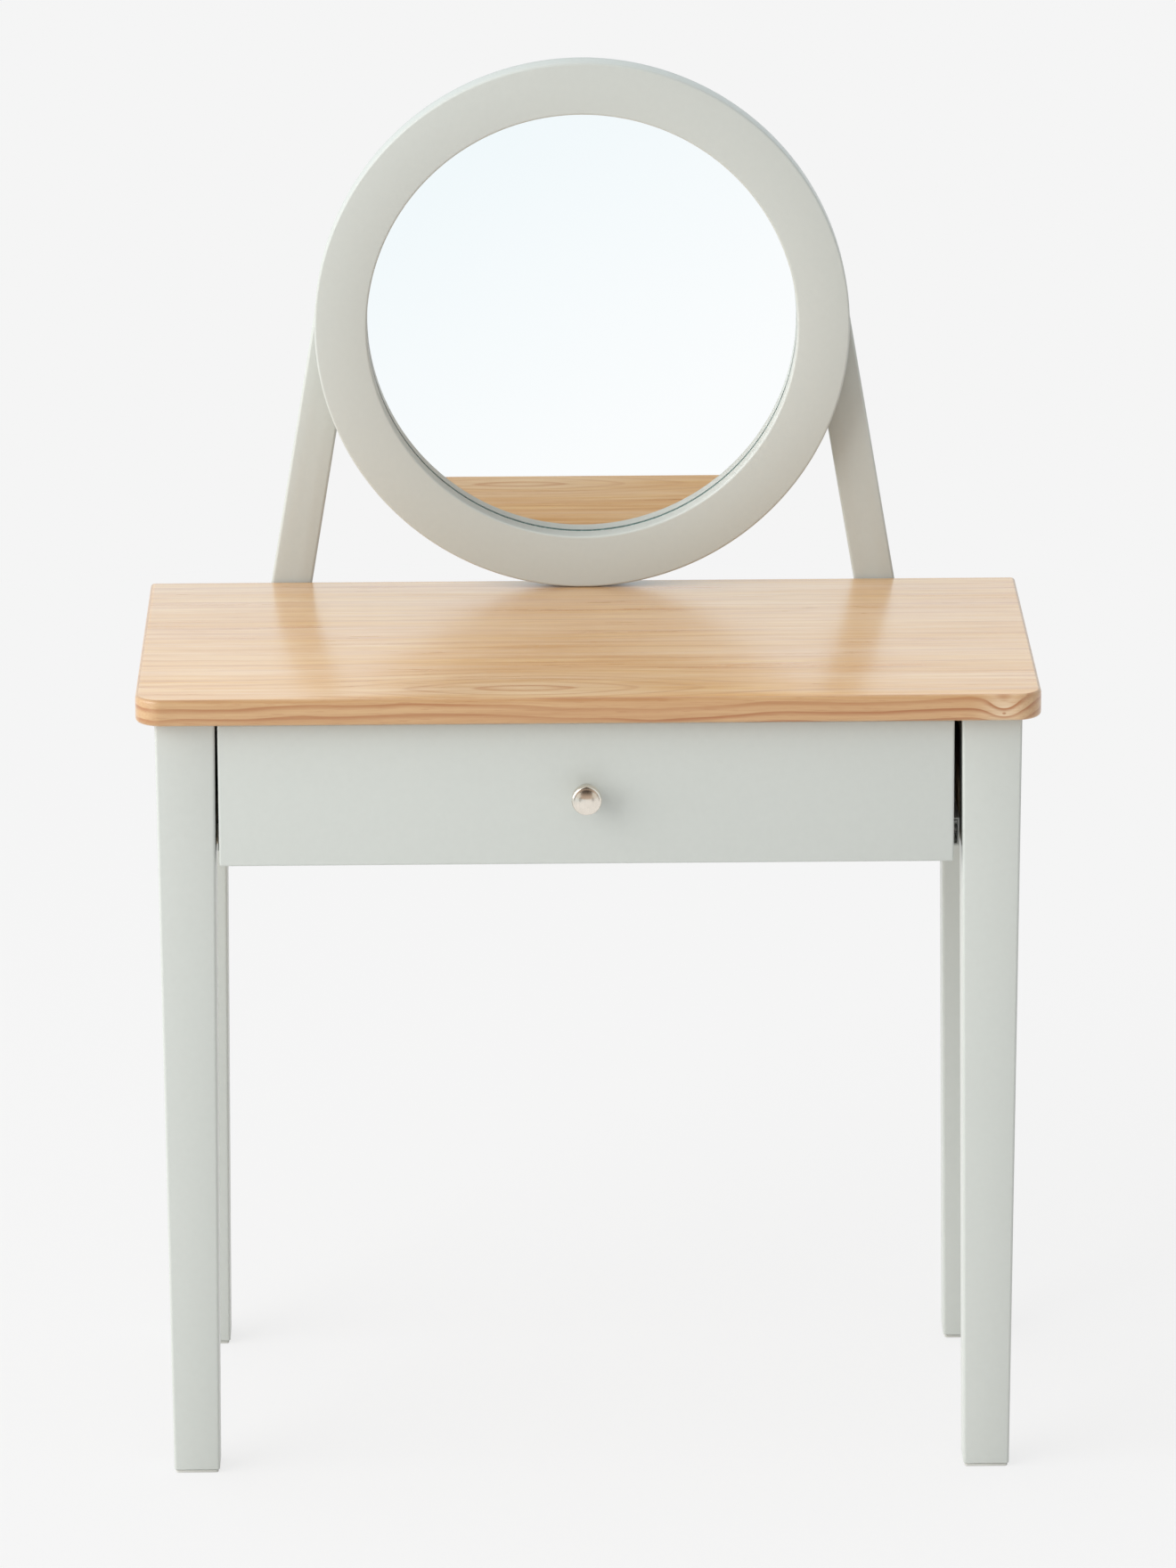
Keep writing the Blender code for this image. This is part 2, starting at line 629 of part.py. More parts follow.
def add_rivet(rail, side, web, way, y):
    """Joins the pin that a roller turns on, with its flat head, to the web of its rail."""
    length = abs(web - roller_x) + roller_width / 2 + FIT_GAP
    profile = [(0, -RAIL_STEEL / 2), (RIVET_RADIUS, -RAIL_STEEL / 2), (RIVET_RADIUS, length),
               (RIVET_HEAD_RADIUS, length), (RIVET_HEAD_RADIUS, length + RIVET_HEAD_HEIGHT),
               (0, length + RIVET_HEAD_HEIGHT)]
    bm = bmesh.new()
    turned(bm, profile, ROUND_STEPS, facing((side * web, y, roller_z), (side * way, 0, 0)))
    combine(rail, bm, "UNION")


def make_cabinet_rail(side):
    """The fixed rail: a web on the batten, a track below and a catch lip above."""
    plane = cabinet_web + RAIL_STEEL
    low = track_z - RAIL_STEEL
    track_edge = drawer_web + TRACK_GAP
    lip_low = flange_z + RAIL_STEEL + CATCH_GAP
    lip_high = lip_low + RAIL_STEEL
    outline = [(plane, low), (plane, lip_high), (plane - CATCH_WIDTH, lip_high),
               (plane - CATCH_WIDTH, lip_low), (cabinet_web, lip_low), (cabinet_web, track_z),
               (track_edge, track_z), (track_edge, low)]
    bm = bmesh.new()
    add_loft(bm, [(side * x, rail_front_y, z) for x, z in outline],
             [(side * x, cabinet_rail_rear_y, z) for x, z in outline])
    rail = add_object("cabinet_rail_" + side_name(side), bm, ENAMEL)
    add_rivet(rail, side, cabinet_web, -1, cabinet_roller_y)


def make_drawer_rail(side):
    """The moving rail: it wraps the drawer side's lower edge and rolls on its upper flange."""
    face = drawer_web - RAIL_STEEL
    flange_end = rail_plane - FLANGE_GAP
    wrap_high = box_bottom_z - FIT_GAP
    wrap_low = wrap_high - RAIL_STEEL
    flange_high = flange_z + RAIL_STEEL
    outline = [(drawer_web, wrap_low), (drawer_web, flange_z), (flange_end, flange_z),
               (flange_end, flange_high), (face, flange_high), (face, wrap_high),
               (drawer_web - WRAP_WIDTH, wrap_high), (drawer_web - WRAP_WIDTH, wrap_low)]
    bm = bmesh.new()
    add_loft(bm, [(side * x, rail_front_y, z) for x, z in outline],
             [(side * x, drawer_rail_rear_y, z) for x, z in outline])
    rail = add_object("drawer_rail_" + side_name(side), bm, ENAMEL)
    add_rivet(rail, side, drawer_web, 1, drawer_roller_y)
    return rail


def make_roller(name, side, y):
    """A nylon roller on its rivet, with its origin on the axis."""
    bore = RIVET_RADIUS + FIT_GAP
    half = roller_width / 2
    profile = [(bore, -half), (ROLLER_RADIUS, -half), (ROLLER_RADIUS, half), (bore, half)]
    bm = bmesh.new()
    turned(bm, profile, ROUND_STEPS, facing((0, 0, 0), (1, 0, 0)), closed=True)
    roller = add_object(name + "_roller_" + side_name(side), bm, NYLON, smooth=True)
    roller.location = (side * roller_x, y, roller_z)
    return roller


def make_mirror_frame():
    """The flat ring, with rounded front edges and a rebate behind for the glass."""
    inner, outer, edge = RING_OPENING_RADIUS, RING_RADIUS, RING_EDGE_ROUND
    front = RING_THICKNESS
    lip = ring_back_y - rebate_y
    profile = [(outer, 0), (rebate_radius, 0), (rebate_radius, lip), (inner, lip)]
    profile += [(inner + edge - edge * math.cos(a), front - edge + edge * math.sin(a))
                for a in quarter_turn(EDGE_STEPS)]
    profile += [(outer - edge + edge * math.sin(a), front - edge + edge * math.cos(a))
                for a in quarter_turn(EDGE_STEPS)]
    bm = bmesh.new()
    turned(bm, profile, RING_STEPS, facing((0, ring_back_y, ring_z), (0, -1, 0)), closed=True)
    ring = add_object("mirror_frame", bm, PAINT, smooth=True)
    holes = bmesh.new()
    for side in (-1, 1):
        for x, z in ring_bolt_places(side):
            add_hole(holes, (x, ring_back_y, z), (0, -1, 0), BOLT_RADIUS + BOLT_CLEARANCE,
                     RING_BOLT_REACH + HOLE_SPARE_DEPTH)
    for angle in CLIP_ANGLES_DEG:
        add_hole(holes, clip_screw_place(angle), (0, -1, 0), CLIP_SCREW_RADIUS + BOLT_CLEARANCE,
                 CLIP_SCREW_REACH + HOLE_SPARE_DEPTH)
    cut(ring, holes)


def make_disc(name, radius, front_y, thickness, finish):
    """A round plate that stands upright behind the ring."""
    bm = bmesh.new()
    profile = [(0, 0), (radius, 0), (radius, thickness), (0, thickness)]
    turned(bm, profile, RING_STEPS, facing((0, front_y, ring_z), (0, 1, 0)))
    add_object(name, bm, finish, smooth=True)


def post_x(z):
    """The middle of a post at a height, measured from the centre line."""
    return post_head_x + (ring_z - z) * post_slope


def ring_bolt_places(side):
    """Where the bolts of a post enter the ring, upper one first."""
    return [(side * post_x(z), z) for z in (ring_z + RING_BOLT_RISE, ring_z - RING_BOLT_DROP)]


def apron_bolt_places(side):
    """Where the bolts of a post enter the rear apron, upper one first."""
    heights = (apron_top_z - APRON_BOLT_INSET, apron_bottom_z + APRON_BOLT_INSET)
    return [(side * post_x(z), z) for z in heights]


def make_post(side):
    """A leaning bar that holds the ring to the rear apron."""
    half = POST_WIDTH / 2 / math.cos(math.atan(post_slope))
    outlines = []
    for z in (apron_bottom_z + POST_FOOT_RISE, ring_z + POST_ABOVE_CENTRE):
        low_x, high_x = span(side, post_x(z) - half, post_x(z) + half)
        outlines.append([(low_x, post_front_y, z), (high_x, post_front_y, z), (high_x, post_back_y, z),
                         (low_x, post_back_y, z)])
    bm = bmesh.new()
    add_loft(bm, *outlines)
    round_edges(bm, POST_EDGE_ROUND, lambda e: True)
    post = add_object("post_" + side_name(side), bm, PAINT, smooth=True)
    holes = bmesh.new()
    for x, z in ring_bolt_places(side) + apron_bolt_places(side):
        add_hole(holes, (x, post_back_y, z), (0, -1, 0), BOLT_RADIUS + BOLT_CLEARANCE,
                 POST_THICKNESS + CUT_OVERRUN)
    cut(post, holes)


def make_post_bolts(side):
    """The bolts of a post, all driven from behind."""
    groups = (("ring", ring_bolt_places(side), RING_BOLT_REACH),
              ("apron", apron_bolt_places(side), APRON_BOLT_REACH))
    for group, places, reach in groups:
        length = reach + POST_THICKNESS + 2 * FIT_GAP
        for level, (x, z) in zip(("upper", "lower"), places):
            name = "_".join((group, "bolt", level, side_name(side)))
            make_screw(name, (x, post_back_y + FIT_GAP, z), (0, -1, 0), BOLT_RADIUS, length,
                       BOLT_HEAD_RADIUS, BOLT_HEAD_HEIGHT)


def clip_screw_place(angle_deg):
    """The middle of the ring's rear face beside the rebate, where a clip's screw goes in."""
    angle = math.radians(angle_deg)
    return Vector((band_radius * math.cos(angle), ring_back_y, ring_z + band_radius * math.sin(angle)))


def make_clip(name, angle_deg):
    """A steel clip across the edge of the backing board, with a hole for its screw."""
    seat = clip_screw_place(angle_deg)
    seat.y += FIT_GAP
    place = facing(seat, (0, 1, 0))
    outward = Vector((math.cos(math.radians(angle_deg)), 0, math.sin(math.radians(angle_deg))))
    local = place.to_3x3().inverted() @ outward
    turn = Matrix.Rotation(math.atan2(local.y, local.x), 4, "Z")
    near = rebate_radius - CLIP_OVERLAP - band_radius
    bm = bmesh.new()
    verts = add_block(bm, (near, -CLIP_WIDTH / 2, 0), (near + CLIP_LENGTH, CLIP_WIDTH / 2, CLIP_STEEL))
    bmesh.ops.transform(bm, matrix=place @ turn, verts=verts)
    clip = add_object(name, bm, ZINC)
    hole = bmesh.new()
    add_hole(hole, seat, (0, 1, 0), CLIP_SCREW_RADIUS + BOLT_CLEARANCE, CLIP_STEEL + CUT_OVERRUN)
    cut(clip, hole)


def make_clip_screw(name, angle_deg):
    """The screw through a clip into the ring."""
    seat = clip_screw_place(angle_deg)
    seat.y += FIT_GAP + CLIP_STEEL + FIT_GAP
    length = CLIP_SCREW_REACH + CLIP_STEEL + 2 * FIT_GAP
    make_screw(name, seat, (0, -1, 0), CLIP_SCREW_RADIUS, length, CLIP_SCREW_HEAD_RADIUS,
               CLIP_SCREW_HEAD_HEIGHT)


def make_table():
    """The top, legs, glides, aprons, battens, blocks, cams and fixed rails."""
    make_top()
    for side in (-1, 1):
        for place, y in (("front_", leg_front_y), ("rear_", leg_rear_y)):
            make_leg(place + side_name(side), (side * leg_x, y))
            make_glide(place + side_name(side), (side * leg_x, y))
        make_side_apron(side)
        make_batten(side)
        make_blocks(side)
        for place, mouth in zip(("front", "rear"), side_cam_places(side)):
            make_cam("cam_" + side_name(side) + "_" + place, mouth, (side, 0, 0))
        make_cabinet_rail(side)
        make_roller("cabinet", side, cabinet_roller_y)
    make_rear_apron()
    for side, mouth in zip((-1, 1), rear_cam_places()):
        make_cam("cam_rear_apron_" + side_name(side), mouth, (0, 1, 0))


def make_drawer():
    """The drawer with its knob and moving rails, parented to an empty where it is pulled."""
    pieces = [make_drawer_front(), make_knob(), make_knob_screw(), make_drawer_back(), make_drawer_bottom()]
    for side in (-1, 1):
        pieces.append(make_drawer_side(side))
        pieces.append(make_drawer_rail(side))
        pieces.append(make_roller("drawer", side, drawer_roller_y))
    gather("drawer_pull", (knob_x, panel_front_y, knob_z), pieces)


def make_mirror():
    """The mirror, its posts and what fastens them."""
    make_mirror_frame()
    plate_radius = rebate_radius - FIT_GAP
    make_disc("mirror_glass", plate_radius, glass_front_y, GLASS_THICKNESS, SILVER)
    make_disc("mirror_backing", plate_radius, backing_front_y, BACKING_THICKNESS, HARDBOARD)
    for side in (-1, 1):
        make_post(side)
        make_post_bolts(side)
    for place, angle in zip(("top", "left", "right"), CLIP_ANGLES_DEG):
        make_clip("backing_clip_" + place, angle)
        make_clip_screw("clip_screw_" + place, angle)


clear_scene()
make_table()
make_drawer()
make_mirror()
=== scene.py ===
"""The looks of a child's dressing table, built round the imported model.

Metres, +Z up, +X to the right as seen from the front, which faces -Y. Each fine mesh takes its place and
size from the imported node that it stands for.
"""
import json
import math

import bmesh
import bpy
from mathutils import Matrix, Vector


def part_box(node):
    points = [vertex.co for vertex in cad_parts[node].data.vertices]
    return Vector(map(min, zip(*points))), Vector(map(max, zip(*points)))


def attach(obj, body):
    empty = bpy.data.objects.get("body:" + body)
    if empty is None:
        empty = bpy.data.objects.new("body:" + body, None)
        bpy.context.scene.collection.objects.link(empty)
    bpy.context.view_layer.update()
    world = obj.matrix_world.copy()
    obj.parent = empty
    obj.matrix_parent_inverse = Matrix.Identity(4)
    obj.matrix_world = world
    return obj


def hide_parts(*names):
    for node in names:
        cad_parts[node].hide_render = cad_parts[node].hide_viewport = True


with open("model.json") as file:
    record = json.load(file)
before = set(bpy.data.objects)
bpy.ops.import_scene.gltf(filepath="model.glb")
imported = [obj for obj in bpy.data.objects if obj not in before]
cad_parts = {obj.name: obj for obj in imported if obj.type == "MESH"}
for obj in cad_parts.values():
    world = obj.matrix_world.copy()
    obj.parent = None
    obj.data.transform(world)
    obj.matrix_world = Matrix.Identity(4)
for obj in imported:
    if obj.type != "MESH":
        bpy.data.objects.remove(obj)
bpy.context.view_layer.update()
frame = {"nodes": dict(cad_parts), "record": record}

record = frame["record"]
body_of_node = {node: body for body, nodes in record["behaviour"]["bodies"].items() for node in nodes}
slot_of_node = {part["node"]: part["material_slot"] for part in record["subparts"]}

# Camera
CAMERA_PLACE = (-0.0637, -5.8466, 2.0537)
CAMERA_YAW_DEG = 0.635
CAMERA_PITCH_DEG = 15.414   # below the horizon
CAMERA_ROLL_DEG = 0.256
CAMERA_LENS_MM = 204.49
CAMERA_SENSOR_MM = 36.0
CAMERA_CLIP = (0.1, 200.0)

# Room, as a gloss sees it: white behind and beside the table, grey in front, unlit behind the camera.
# Its slopes are sideways over forwards
BACKDROP_GREY = 0.913       # what the camera sees behind the table and of the floor
BACK_WHITE = (0.84, 0.955, 1.0)
ROOM_GREY = (0.80, 0.76, 0.70)
ROOM_SLOPE = (0.55, 1.10)   # from all grey to all white
UNLIT_BROWN = (0.07, 0.052, 0.040)
UNLIT_SLOPE = (0.34, 0.42)  # where the unlit strip ends
HORIZON_BROWN = (0.58, 0.46, 0.37)  # of the unlit strip near the floor
HORIZON_HEIGHT = (0.02, 0.37)       # of a direction, where the horizon's brown ends
PAINTED_UPRIGHT_SLOPE = (0.33, 0.40, 0.49)    # painted reflection: a dark patch on the floor at each side of the unlit strip, which a gloss shows as an upright
PAINTED_UPRIGHT_REACH = (1.5, 2.3)    # in front of the table, where those painted uprights meet the floor

# Floor, even to the camera; to a gloss it shows a painted reflection: a cool and warm tint near the table
# and the room further off
FLOOR_SIDE = 60.0
FLOOR_ROOM_REACH = (4.3, 5.6)       # in front of the table, where a gloss sees the painted reflection of the room instead
REFLECTED_FLOOR_COOL = (0.890, 0.950, 0.975)
REFLECTED_FLOOR_WARM = (1.0, 0.998, 1.0)
FLOOR_COOL_SLANT = 2.5      # the cool part of the painted reflection lies in front and to the left
FLOOR_COOL_REACH = (2.4, 5.0)
FLOOR_ALBEDO = 0.86         # what the floor throws back on the object
SHADOW_SHARE = 0.18         # part of the floor's look that takes shadow
SHADOW_REACH = (0.7, 2.4)   # from the table's middle, where that part fades
SHADOW_LIGHT = 1.15         # the light on the floor, which that part makes up for

# Light, from a wide soft lamp at the left and from all round
WORLD_LEVEL = 0.31
WORLD_LEFT_LEVEL = 0.90     # more, straight to the left
WORLD_UP_LEVEL = 0.68       # more, straight up
LAMP_TARGET = (0.0, 0.0, 0.55)
LAMP_PLACE = (-8.0, -4.6, 4.10)
LAMP_SIDE = 9.0
LAMP_WATTS = 800.0

# Shaping
SHARP_DEG = 38.0            # faces that turn more than this meet at a sharp edge
EASE_STEPS = 4
SMALL_STEPS = 3
ROUND_PROFILE = 0.5         # a bevel's shape that makes it a quarter circle
LEVEL_BAND = 0.00002        # points this near a plane lie in it
WELD_DISTANCE = 0.00002
FLAT_DEG = 0.5              # faces that turn less than this are one face
FULL_TURN = 2 * math.pi
SMALLEST = 0.0001           # keeps a division from one by zero
ALONG_SHARE = 0.9           # an edge with this much of its length along an axis runs along it
FACE_SHARE = 0.94           # a face with this much of its normal up or down belongs to the board's faces
CUT_OVERRUN = 0.002         # of a tool past the face that it cuts through
HOLE_CLEARANCE = 0.0003     # round a shank or a cam
HOLE_SPARE_DEPTH = 0.001    # beyond a shank's tip
FORWARDS, BACKWARDS = -1, 1     # along Y

# Nodes whose names repeat
SIDES = ("left", "right")
ENDS = ("front", "rear")
LEVELS = ("upper", "lower")
CLIP_PLACES = ("top", "left", "right")
CLIP_SCREWS = ["clip_screw_" + place for place in CLIP_PLACES]

# Nodes of a shader tree
MIX_INPUTS = (0, 6, 7)      # of a Mix node for colours: the share, then the two colours
MIX_OUTPUT = 2
NOISE_SPAN = (0.2, 0.8)     # where nearly all of a noise's values lie
NOISE_CORE = (0.25, 0.75)   # where most of them lie
NOISE_MIDDLE = 0.5

# Wood, whose grain runs along X. A noise is its stretch in X, Y and Z, its detail and its roughness
PATCH_NOISE = ((3.2, 55.0, 55.0), 3.0)      # where the growth rings show
PATCH_SPAN = (0.35, 0.68)
PATCH_LEAST = 0.10          # how much they show elsewhere
RING_END_SHARE = 0.92       # of a growth ring's width, where its dark late wood is darkest
SWAY_NOISE = ((3.0, 12.0, 12.0),)
GRAIN_SWAY = 0.022          # how far the streaks stray sideways along a board
BAND_NOISE = ((1.3, 38.0, 38.0), 5.0, 0.75)
BAND_SPAN = (0.36, 0.64)
STREAK_STRETCH, STREAK_NOISE = 6.0, (4.0, 0.7)      # along the grain only, as a wood gives the rest
FIBRE_STRETCH, FIBRE_NOISE = 14.0, (3.0, 0.6)
FIBRE_SHARE = 0.6           # of the streaks' depth
STREAK_WARMTH = 0.45        # how much more the streaks change blue than green, and red less
PORE_NOISE = ((70.0, 1500.0, 1500.0), 1.0)
PORE_SPAN = (0.60, 0.72)
PALE_WOOD = (0.80, 0.70, 0.52)
HUMP_PALENESS = 0.35        # share of pale wood where the rings rise
DOT_FADE = (0.5, 1.0)       # of a dark dot's size
DOT_DARKNESS = 0.75
SHINE_CHANGE = (-0.05, 0.07)        # of the roughness, from streak to streak
FIBRE_HEIGHT, PORE_SINK = 0.5, 0.6
WOOD_BUMP = (0.00006, 0.5)

# The top's flame and pin knot
FLAME_FROM_MIDDLE = -0.040
FLAME_FROM_FRONT = 0.026
FLAME_SIZE = (0.10, 0.042, 1.0)
FLAME_PITH_DEPTH = 0.008
KNOT_FROM_END = 0.0255
KNOT_FROM_TOP = 0.0085
KNOT_SIZE = (0.012, 0.05, 0.014)
KNOT_DOT_DROP = 0.0042
KNOT_DOT_SIZE = (0.0016, 0.02, 0.0010)
EDGE_PITH_SETBACK = 0.03
EDGE_PITH_DROP = 0.088

# Edges
TOP_FRONT_RADIUS = 0.018
TOP_REAR_RADIUS = 0.003
TOP_EDGE = 0.0025
TOP_EDGE_STEPS = 6
TOP_CORNER_STEPS = 20
LEG_EDGE = 0.002
LEG_END_EDGE = 0.0006
POST_EDGE = 0.002
PANEL_EDGE = 0.0015
BOARD_EDGE = 0.0009
BOX_EDGE = 0.0008
THIN_EDGE = 0.0004
PAD_EDGE = 0.0006
RAIL_BEND = 0.0005

# Mirror
RING_STEPS = 224
RING_OPENING_RADIUS = 0.148
RING_FRONT_EDGE = 0.0016
RING_REAR_EDGE = 0.0010
LIP_GAP = 0.0003            # between the ring's lip and the glass
SILVER_DEPTH = 0.0020       # silvering behind the glass's face, as it looks through the glass
SILVER_RADIUS_SPARE = 0.0003
BACKING_EDGE = 0.0006
SCREEN_PITCH = 0.0016       # of the mesh pressed into the backing board

# Knob
KNOB_STEPS = 96
KNOB_NECK_RADIUS = 0.0048
KNOB_FOOT_RADIUS = 0.0068
KNOB_FOOT_HEIGHT = 0.0016
KNOB_FOOT_EDGE = 0.0004
KNOB_HEAD_THICKNESS = 0.0062
KNOB_RIM = 0.0019
KNOB_CROWN = 0.0016
KNOB_FLARE = 0.006
KNOB_ARC_STEPS = 8
KNOB_CROWN_STEPS = 8

# Fasteners
SCREW_STEPS = 40
HEAD_STEPS = 6
HEAD_RIM_SHARE = 0.30       # straight side of a head, of its height
BOLT_RADIUS = 0.0025
BOLT_HEAD_HEIGHT = 0.0028
CLIP_SCREW_RADIUS = 0.0016
CLIP_SCREW_HEAD_HEIGHT = 0.0018
KNOB_SCREW_RADIUS = 0.0020
KNOB_SCREW_HEAD_HEIGHT = 0.0020
RECESS_LENGTH_SHARE = 0.62  # cross recess, of the head's radius
RECESS_WIDTH_SHARE = 0.13
RECESS_DEPTH_SHARE = 0.60   # of the head's height
CAM_EDGE = 0.0006
CAM_STEPS = 56
CAM_RECESS_DEPTH = 0.004
CLIP_LENGTH = 0.026
CLIP_WIDTH = 0.012
CLIP_CORNER = 0.0035
CLIP_CORNER_STEPS = 8

# Rollers
ROLLER_STEPS = 64
ROLLER_EDGE = 0.0007
ROLLER_BORE = 0.0028
ROLLER_HUB_RADIUS = 0.0042
ROLLER_DISH = 0.0006        # web's face behind the hub and the tread
ROLLER_RIM_WIDTH = 0.0013


class Nodes:
    """A node tree being made, with short ways to add its nodes."""

    def __init__(self, tree):
        self.tree = tree

    def put(self, value, socket):
        """Links a node's output to a socket, or sets the socket to a value."""
        if isinstance(value, bpy.types.NodeSocket):
            self.tree.links.new(value, socket)
        elif socket.type == "RGBA":
            socket.default_value = (*value[:3], 1.0)
        else:
            socket.default_value = value

    def node(self, kind, values=(), **settings):
        """A node with its settings, and its first inputs linked or set in order."""
        made = self.tree.nodes.new(kind)
        for name, value in settings.items():
            setattr(made, name, value)
        for socket, value in zip(made.inputs, values):
            self.put(value, socket)
        return made

    def math(self, operation, *values):
        """The result of an operation on numbers."""
        return self.node("ShaderNodeMath", values, operation=operation).outputs[0]

    def vector(self, operation, *values):
        """The result of an operation on vectors, which is a number if it is a length."""
        made = self.node("ShaderNodeVectorMath", values, operation=operation)
        return made.outputs["Value" if operation == "LENGTH" else "Vector"]

    def place(self, along="X"):
        """The point on the piece, turned so that the grain runs along the first axis, or a direction."""
        source = self.node("ShaderNodeTexCoord")
        if along == "direction":
            return source.outputs["Generated"]
        point = source.outputs["Object"]
        if along == "X":
            return point
        axes = self.node("ShaderNodeSeparateXYZ", [point])
        return self.node("ShaderNodeCombineXYZ", [axes.outputs[a] for a in "YXZ"]).outputs[0]

    def noise(self, point, stretch, detail=2.0, roughness=0.5):
        """Noise from 0 to 1 whose features measure one over the stretch, which is one number or three."""
        if isinstance(stretch, float):
            stretch = (stretch,) * 3
        made = self.node("ShaderNodeTexNoise")
        inputs = {"Vector": self.vector("MULTIPLY", point, stretch), "Scale": 1.0, "Detail": detail,
                  "Roughness": roughness}
        for name, value in inputs.items():
            self.put(value, made.inputs[name])
        return made.outputs["Fac"]

    def remap(self, value, low, high, to_low=0.0, to_high=1.0, smooth=False):
        """A value taken from one range to another, and held at its ends."""
        kind = "SMOOTHSTEP" if smooth else "LINEAR"
        made = self.node("ShaderNodeMapRange", [value, low, high, to_low, to_high], interpolation_type=kind)
        return made.outputs[0]

    def mix(self, share, one, two, blend="MIX"):
        """One colour blended with a share of another."""
        made = self.node("ShaderNodeMix", data_type="RGBA", blend_type=blend)
        for index, value in zip(MIX_INPUTS, (share, one, two)):
            self.put(value, made.inputs[index])
        return made.outputs[MIX_OUTPUT]

    def shade(self, colour, value, depth, warmth=0.0):
        """A colour made darker or lighter by a value from 0 to 1, its red less and its blue more if warm."""
        depths = [depth * share for share in (1.0 - warmth, 1.0, 1.0 + warmth)]
        levels = [self.remap(value, 0.0, 1.0, 1.0 - d, 1.0 + d) for d in depths]
        return self.mix(1.0, colour, self.node("ShaderNodeCombineColor", levels).outputs[0], "MULTIPLY")

    def bump(self, height, distance, strength, under=None):
        """A normal that follows a height, over another normal if one is given."""
        made = self.node("ShaderNodeBump")
        inputs = {"Strength": strength, "Distance": distance, "Height": height}
        if under is not None:
            inputs["Normal"] = under
        for name, value in inputs.items():
            self.put(value, made.inputs[name])
        return made.outputs[0]


class Finish(Nodes):
    """A material being made round one shader."""

    def __init__(self, name, **sockets):
        self.material = bpy.data.materials.new(name)
        self.material.use_nodes = True
        super().__init__(self.material.node_tree)
        self.shader = self.tree.nodes["Principled BSDF"]
        self.done(**sockets)

    def done(self, **sockets):
        """Sets or links sockets of the shader, and gives the material."""
        for name, value in sockets.items():
            self.put(value, self.shader.inputs[name.replace("_", " ").title().replace("Ior", "IOR")])
        return self.material


def times_away(f, point, place, size):
    """How many times a size away from a place each point lies."""
    return f.vector("LENGTH", f.vector("DIVIDE", f.vector("SUBTRACT", point, place), size))


def pith_distance(f, point, pith, bends):
    """The distance from the log's pith, bent as real growth rings are."""
    flat = f.vector("MULTIPLY", f.vector("SUBTRACT", point, pith), (0.0, 1.0, 1.0))
    distance = f.vector("LENGTH", flat)
    for stretch, amount in bends:
        wave = f.math("SUBTRACT", f.noise(point, stretch), NOISE_MIDDLE)
        distance = f.math("ADD", distance, f.math("MULTIPLY", wave, amount))
    return distance


def rise_near(f, point, place, size):
    """A smooth hump round a place, 1 at its middle."""
    away = times_away(f, point, place, size)
    return f.math("EXPONENT", f.math("MULTIPLY", f.math("MULTIPLY", away, away), -1.0))


def late_wood(f, distance, ring_width, ring_start):
    """How dark a ring's late wood is at each point: it darkens slowly and ends at once."""
    rings = f.math("FRACT", f.math("DIVIDE", distance, ring_width))
    late = f.remap(rings, ring_start, RING_END_SHARE, smooth=True)
    return f.math("MULTIPLY", late, f.remap(rings, RING_END_SHARE, 1.0, 1.0, 0.0))


def swaying_grain(f, point, coarse, fine):
    """The bands, streaks and fibres of a board, which sway together along it."""
    sway = f.math("MULTIPLY", f.noise(point, *SWAY_NOISE), GRAIN_SWAY)
    flowing = f.vector("ADD", point, f.node("ShaderNodeCombineXYZ", [0.0, sway, sway]).outputs[0])
    bands = f.remap(f.noise(flowing, *BAND_NOISE), *BAND_SPAN)
    streaks = f.remap(f.noise(flowing, (STREAK_STRETCH, coarse, coarse), *STREAK_NOISE), *NOISE_CORE)
    fibres = f.remap(f.noise(flowing, (FIBRE_STRETCH, fine, fine), *FIBRE_NOISE), *NOISE_CORE)
    return bands, streaks, fibres


def timber(name, along, tones, pith, bends, ring_width, ring_depth, ring_start, streak_depth, pore_depth,
           rough, grain, pale_share=0.0, hump=None, dot=None, **sockets):
    """Sawn wood: growth rings round a pith near the board, with bands, streaks, fibres and pores."""
    light, deep, late_tone = tones
    f = Finish(name, **sockets)
    point = f.place(along)
    distance = pith_distance(f, point, pith, bends)
    patches = f.remap(f.noise(point, *PATCH_NOISE), *PATCH_SPAN, PATCH_LEAST, 1.0)
    rise = 0.0
    if hump is not None:
        place, size, lift = hump
        rise = rise_near(f, point, place, size)
        distance = f.math("ADD", distance, f.math("MULTIPLY", rise, lift))
        patches = f.math("MAXIMUM", patches, rise)
    late = f.math("MULTIPLY", late_wood(f, distance, ring_width, ring_start), patches)
    bands, streaks, fibres = swaying_grain(f, point, *grain)
    pores = f.remap(f.noise(point, *PORE_NOISE), *PORE_SPAN)
    colour = f.mix(bands, light, deep)
    colour = f.mix(f.math("MULTIPLY", rise, HUMP_PALENESS), colour, PALE_WOOD)
    colour = f.mix(f.math("MULTIPLY", late, ring_depth), colour, late_tone)
    colour = f.shade(colour, streaks, streak_depth, STREAK_WARMTH)
    colour = f.shade(colour, fibres, streak_depth * FIBRE_SHARE, STREAK_WARMTH)
    colour = f.mix(f.math("MULTIPLY", streaks, pale_share), colour, PALE_WOOD)
    colour = f.mix(f.math("MULTIPLY", pores, pore_depth), colour, late_tone)
    if dot is not None:
        spot = f.remap(times_away(f, point, *dot), *DOT_FADE, DOT_DARKNESS, 0.0, smooth=True)
        colour = f.mix(spot, colour, late_tone)
    roughness = f.remap(streaks, 0.0, 1.0, *(rough + change for change in SHINE_CHANGE))
    raised = f.math("MULTIPLY", fibres, FIBRE_HEIGHT)
    height = f.math("SUBTRACT", raised, f.math("MULTIPLY", pores, PORE_SINK))
    return f.done(base_color=colour, roughness=roughness, normal=f.bump(height, *WOOD_BUMP))


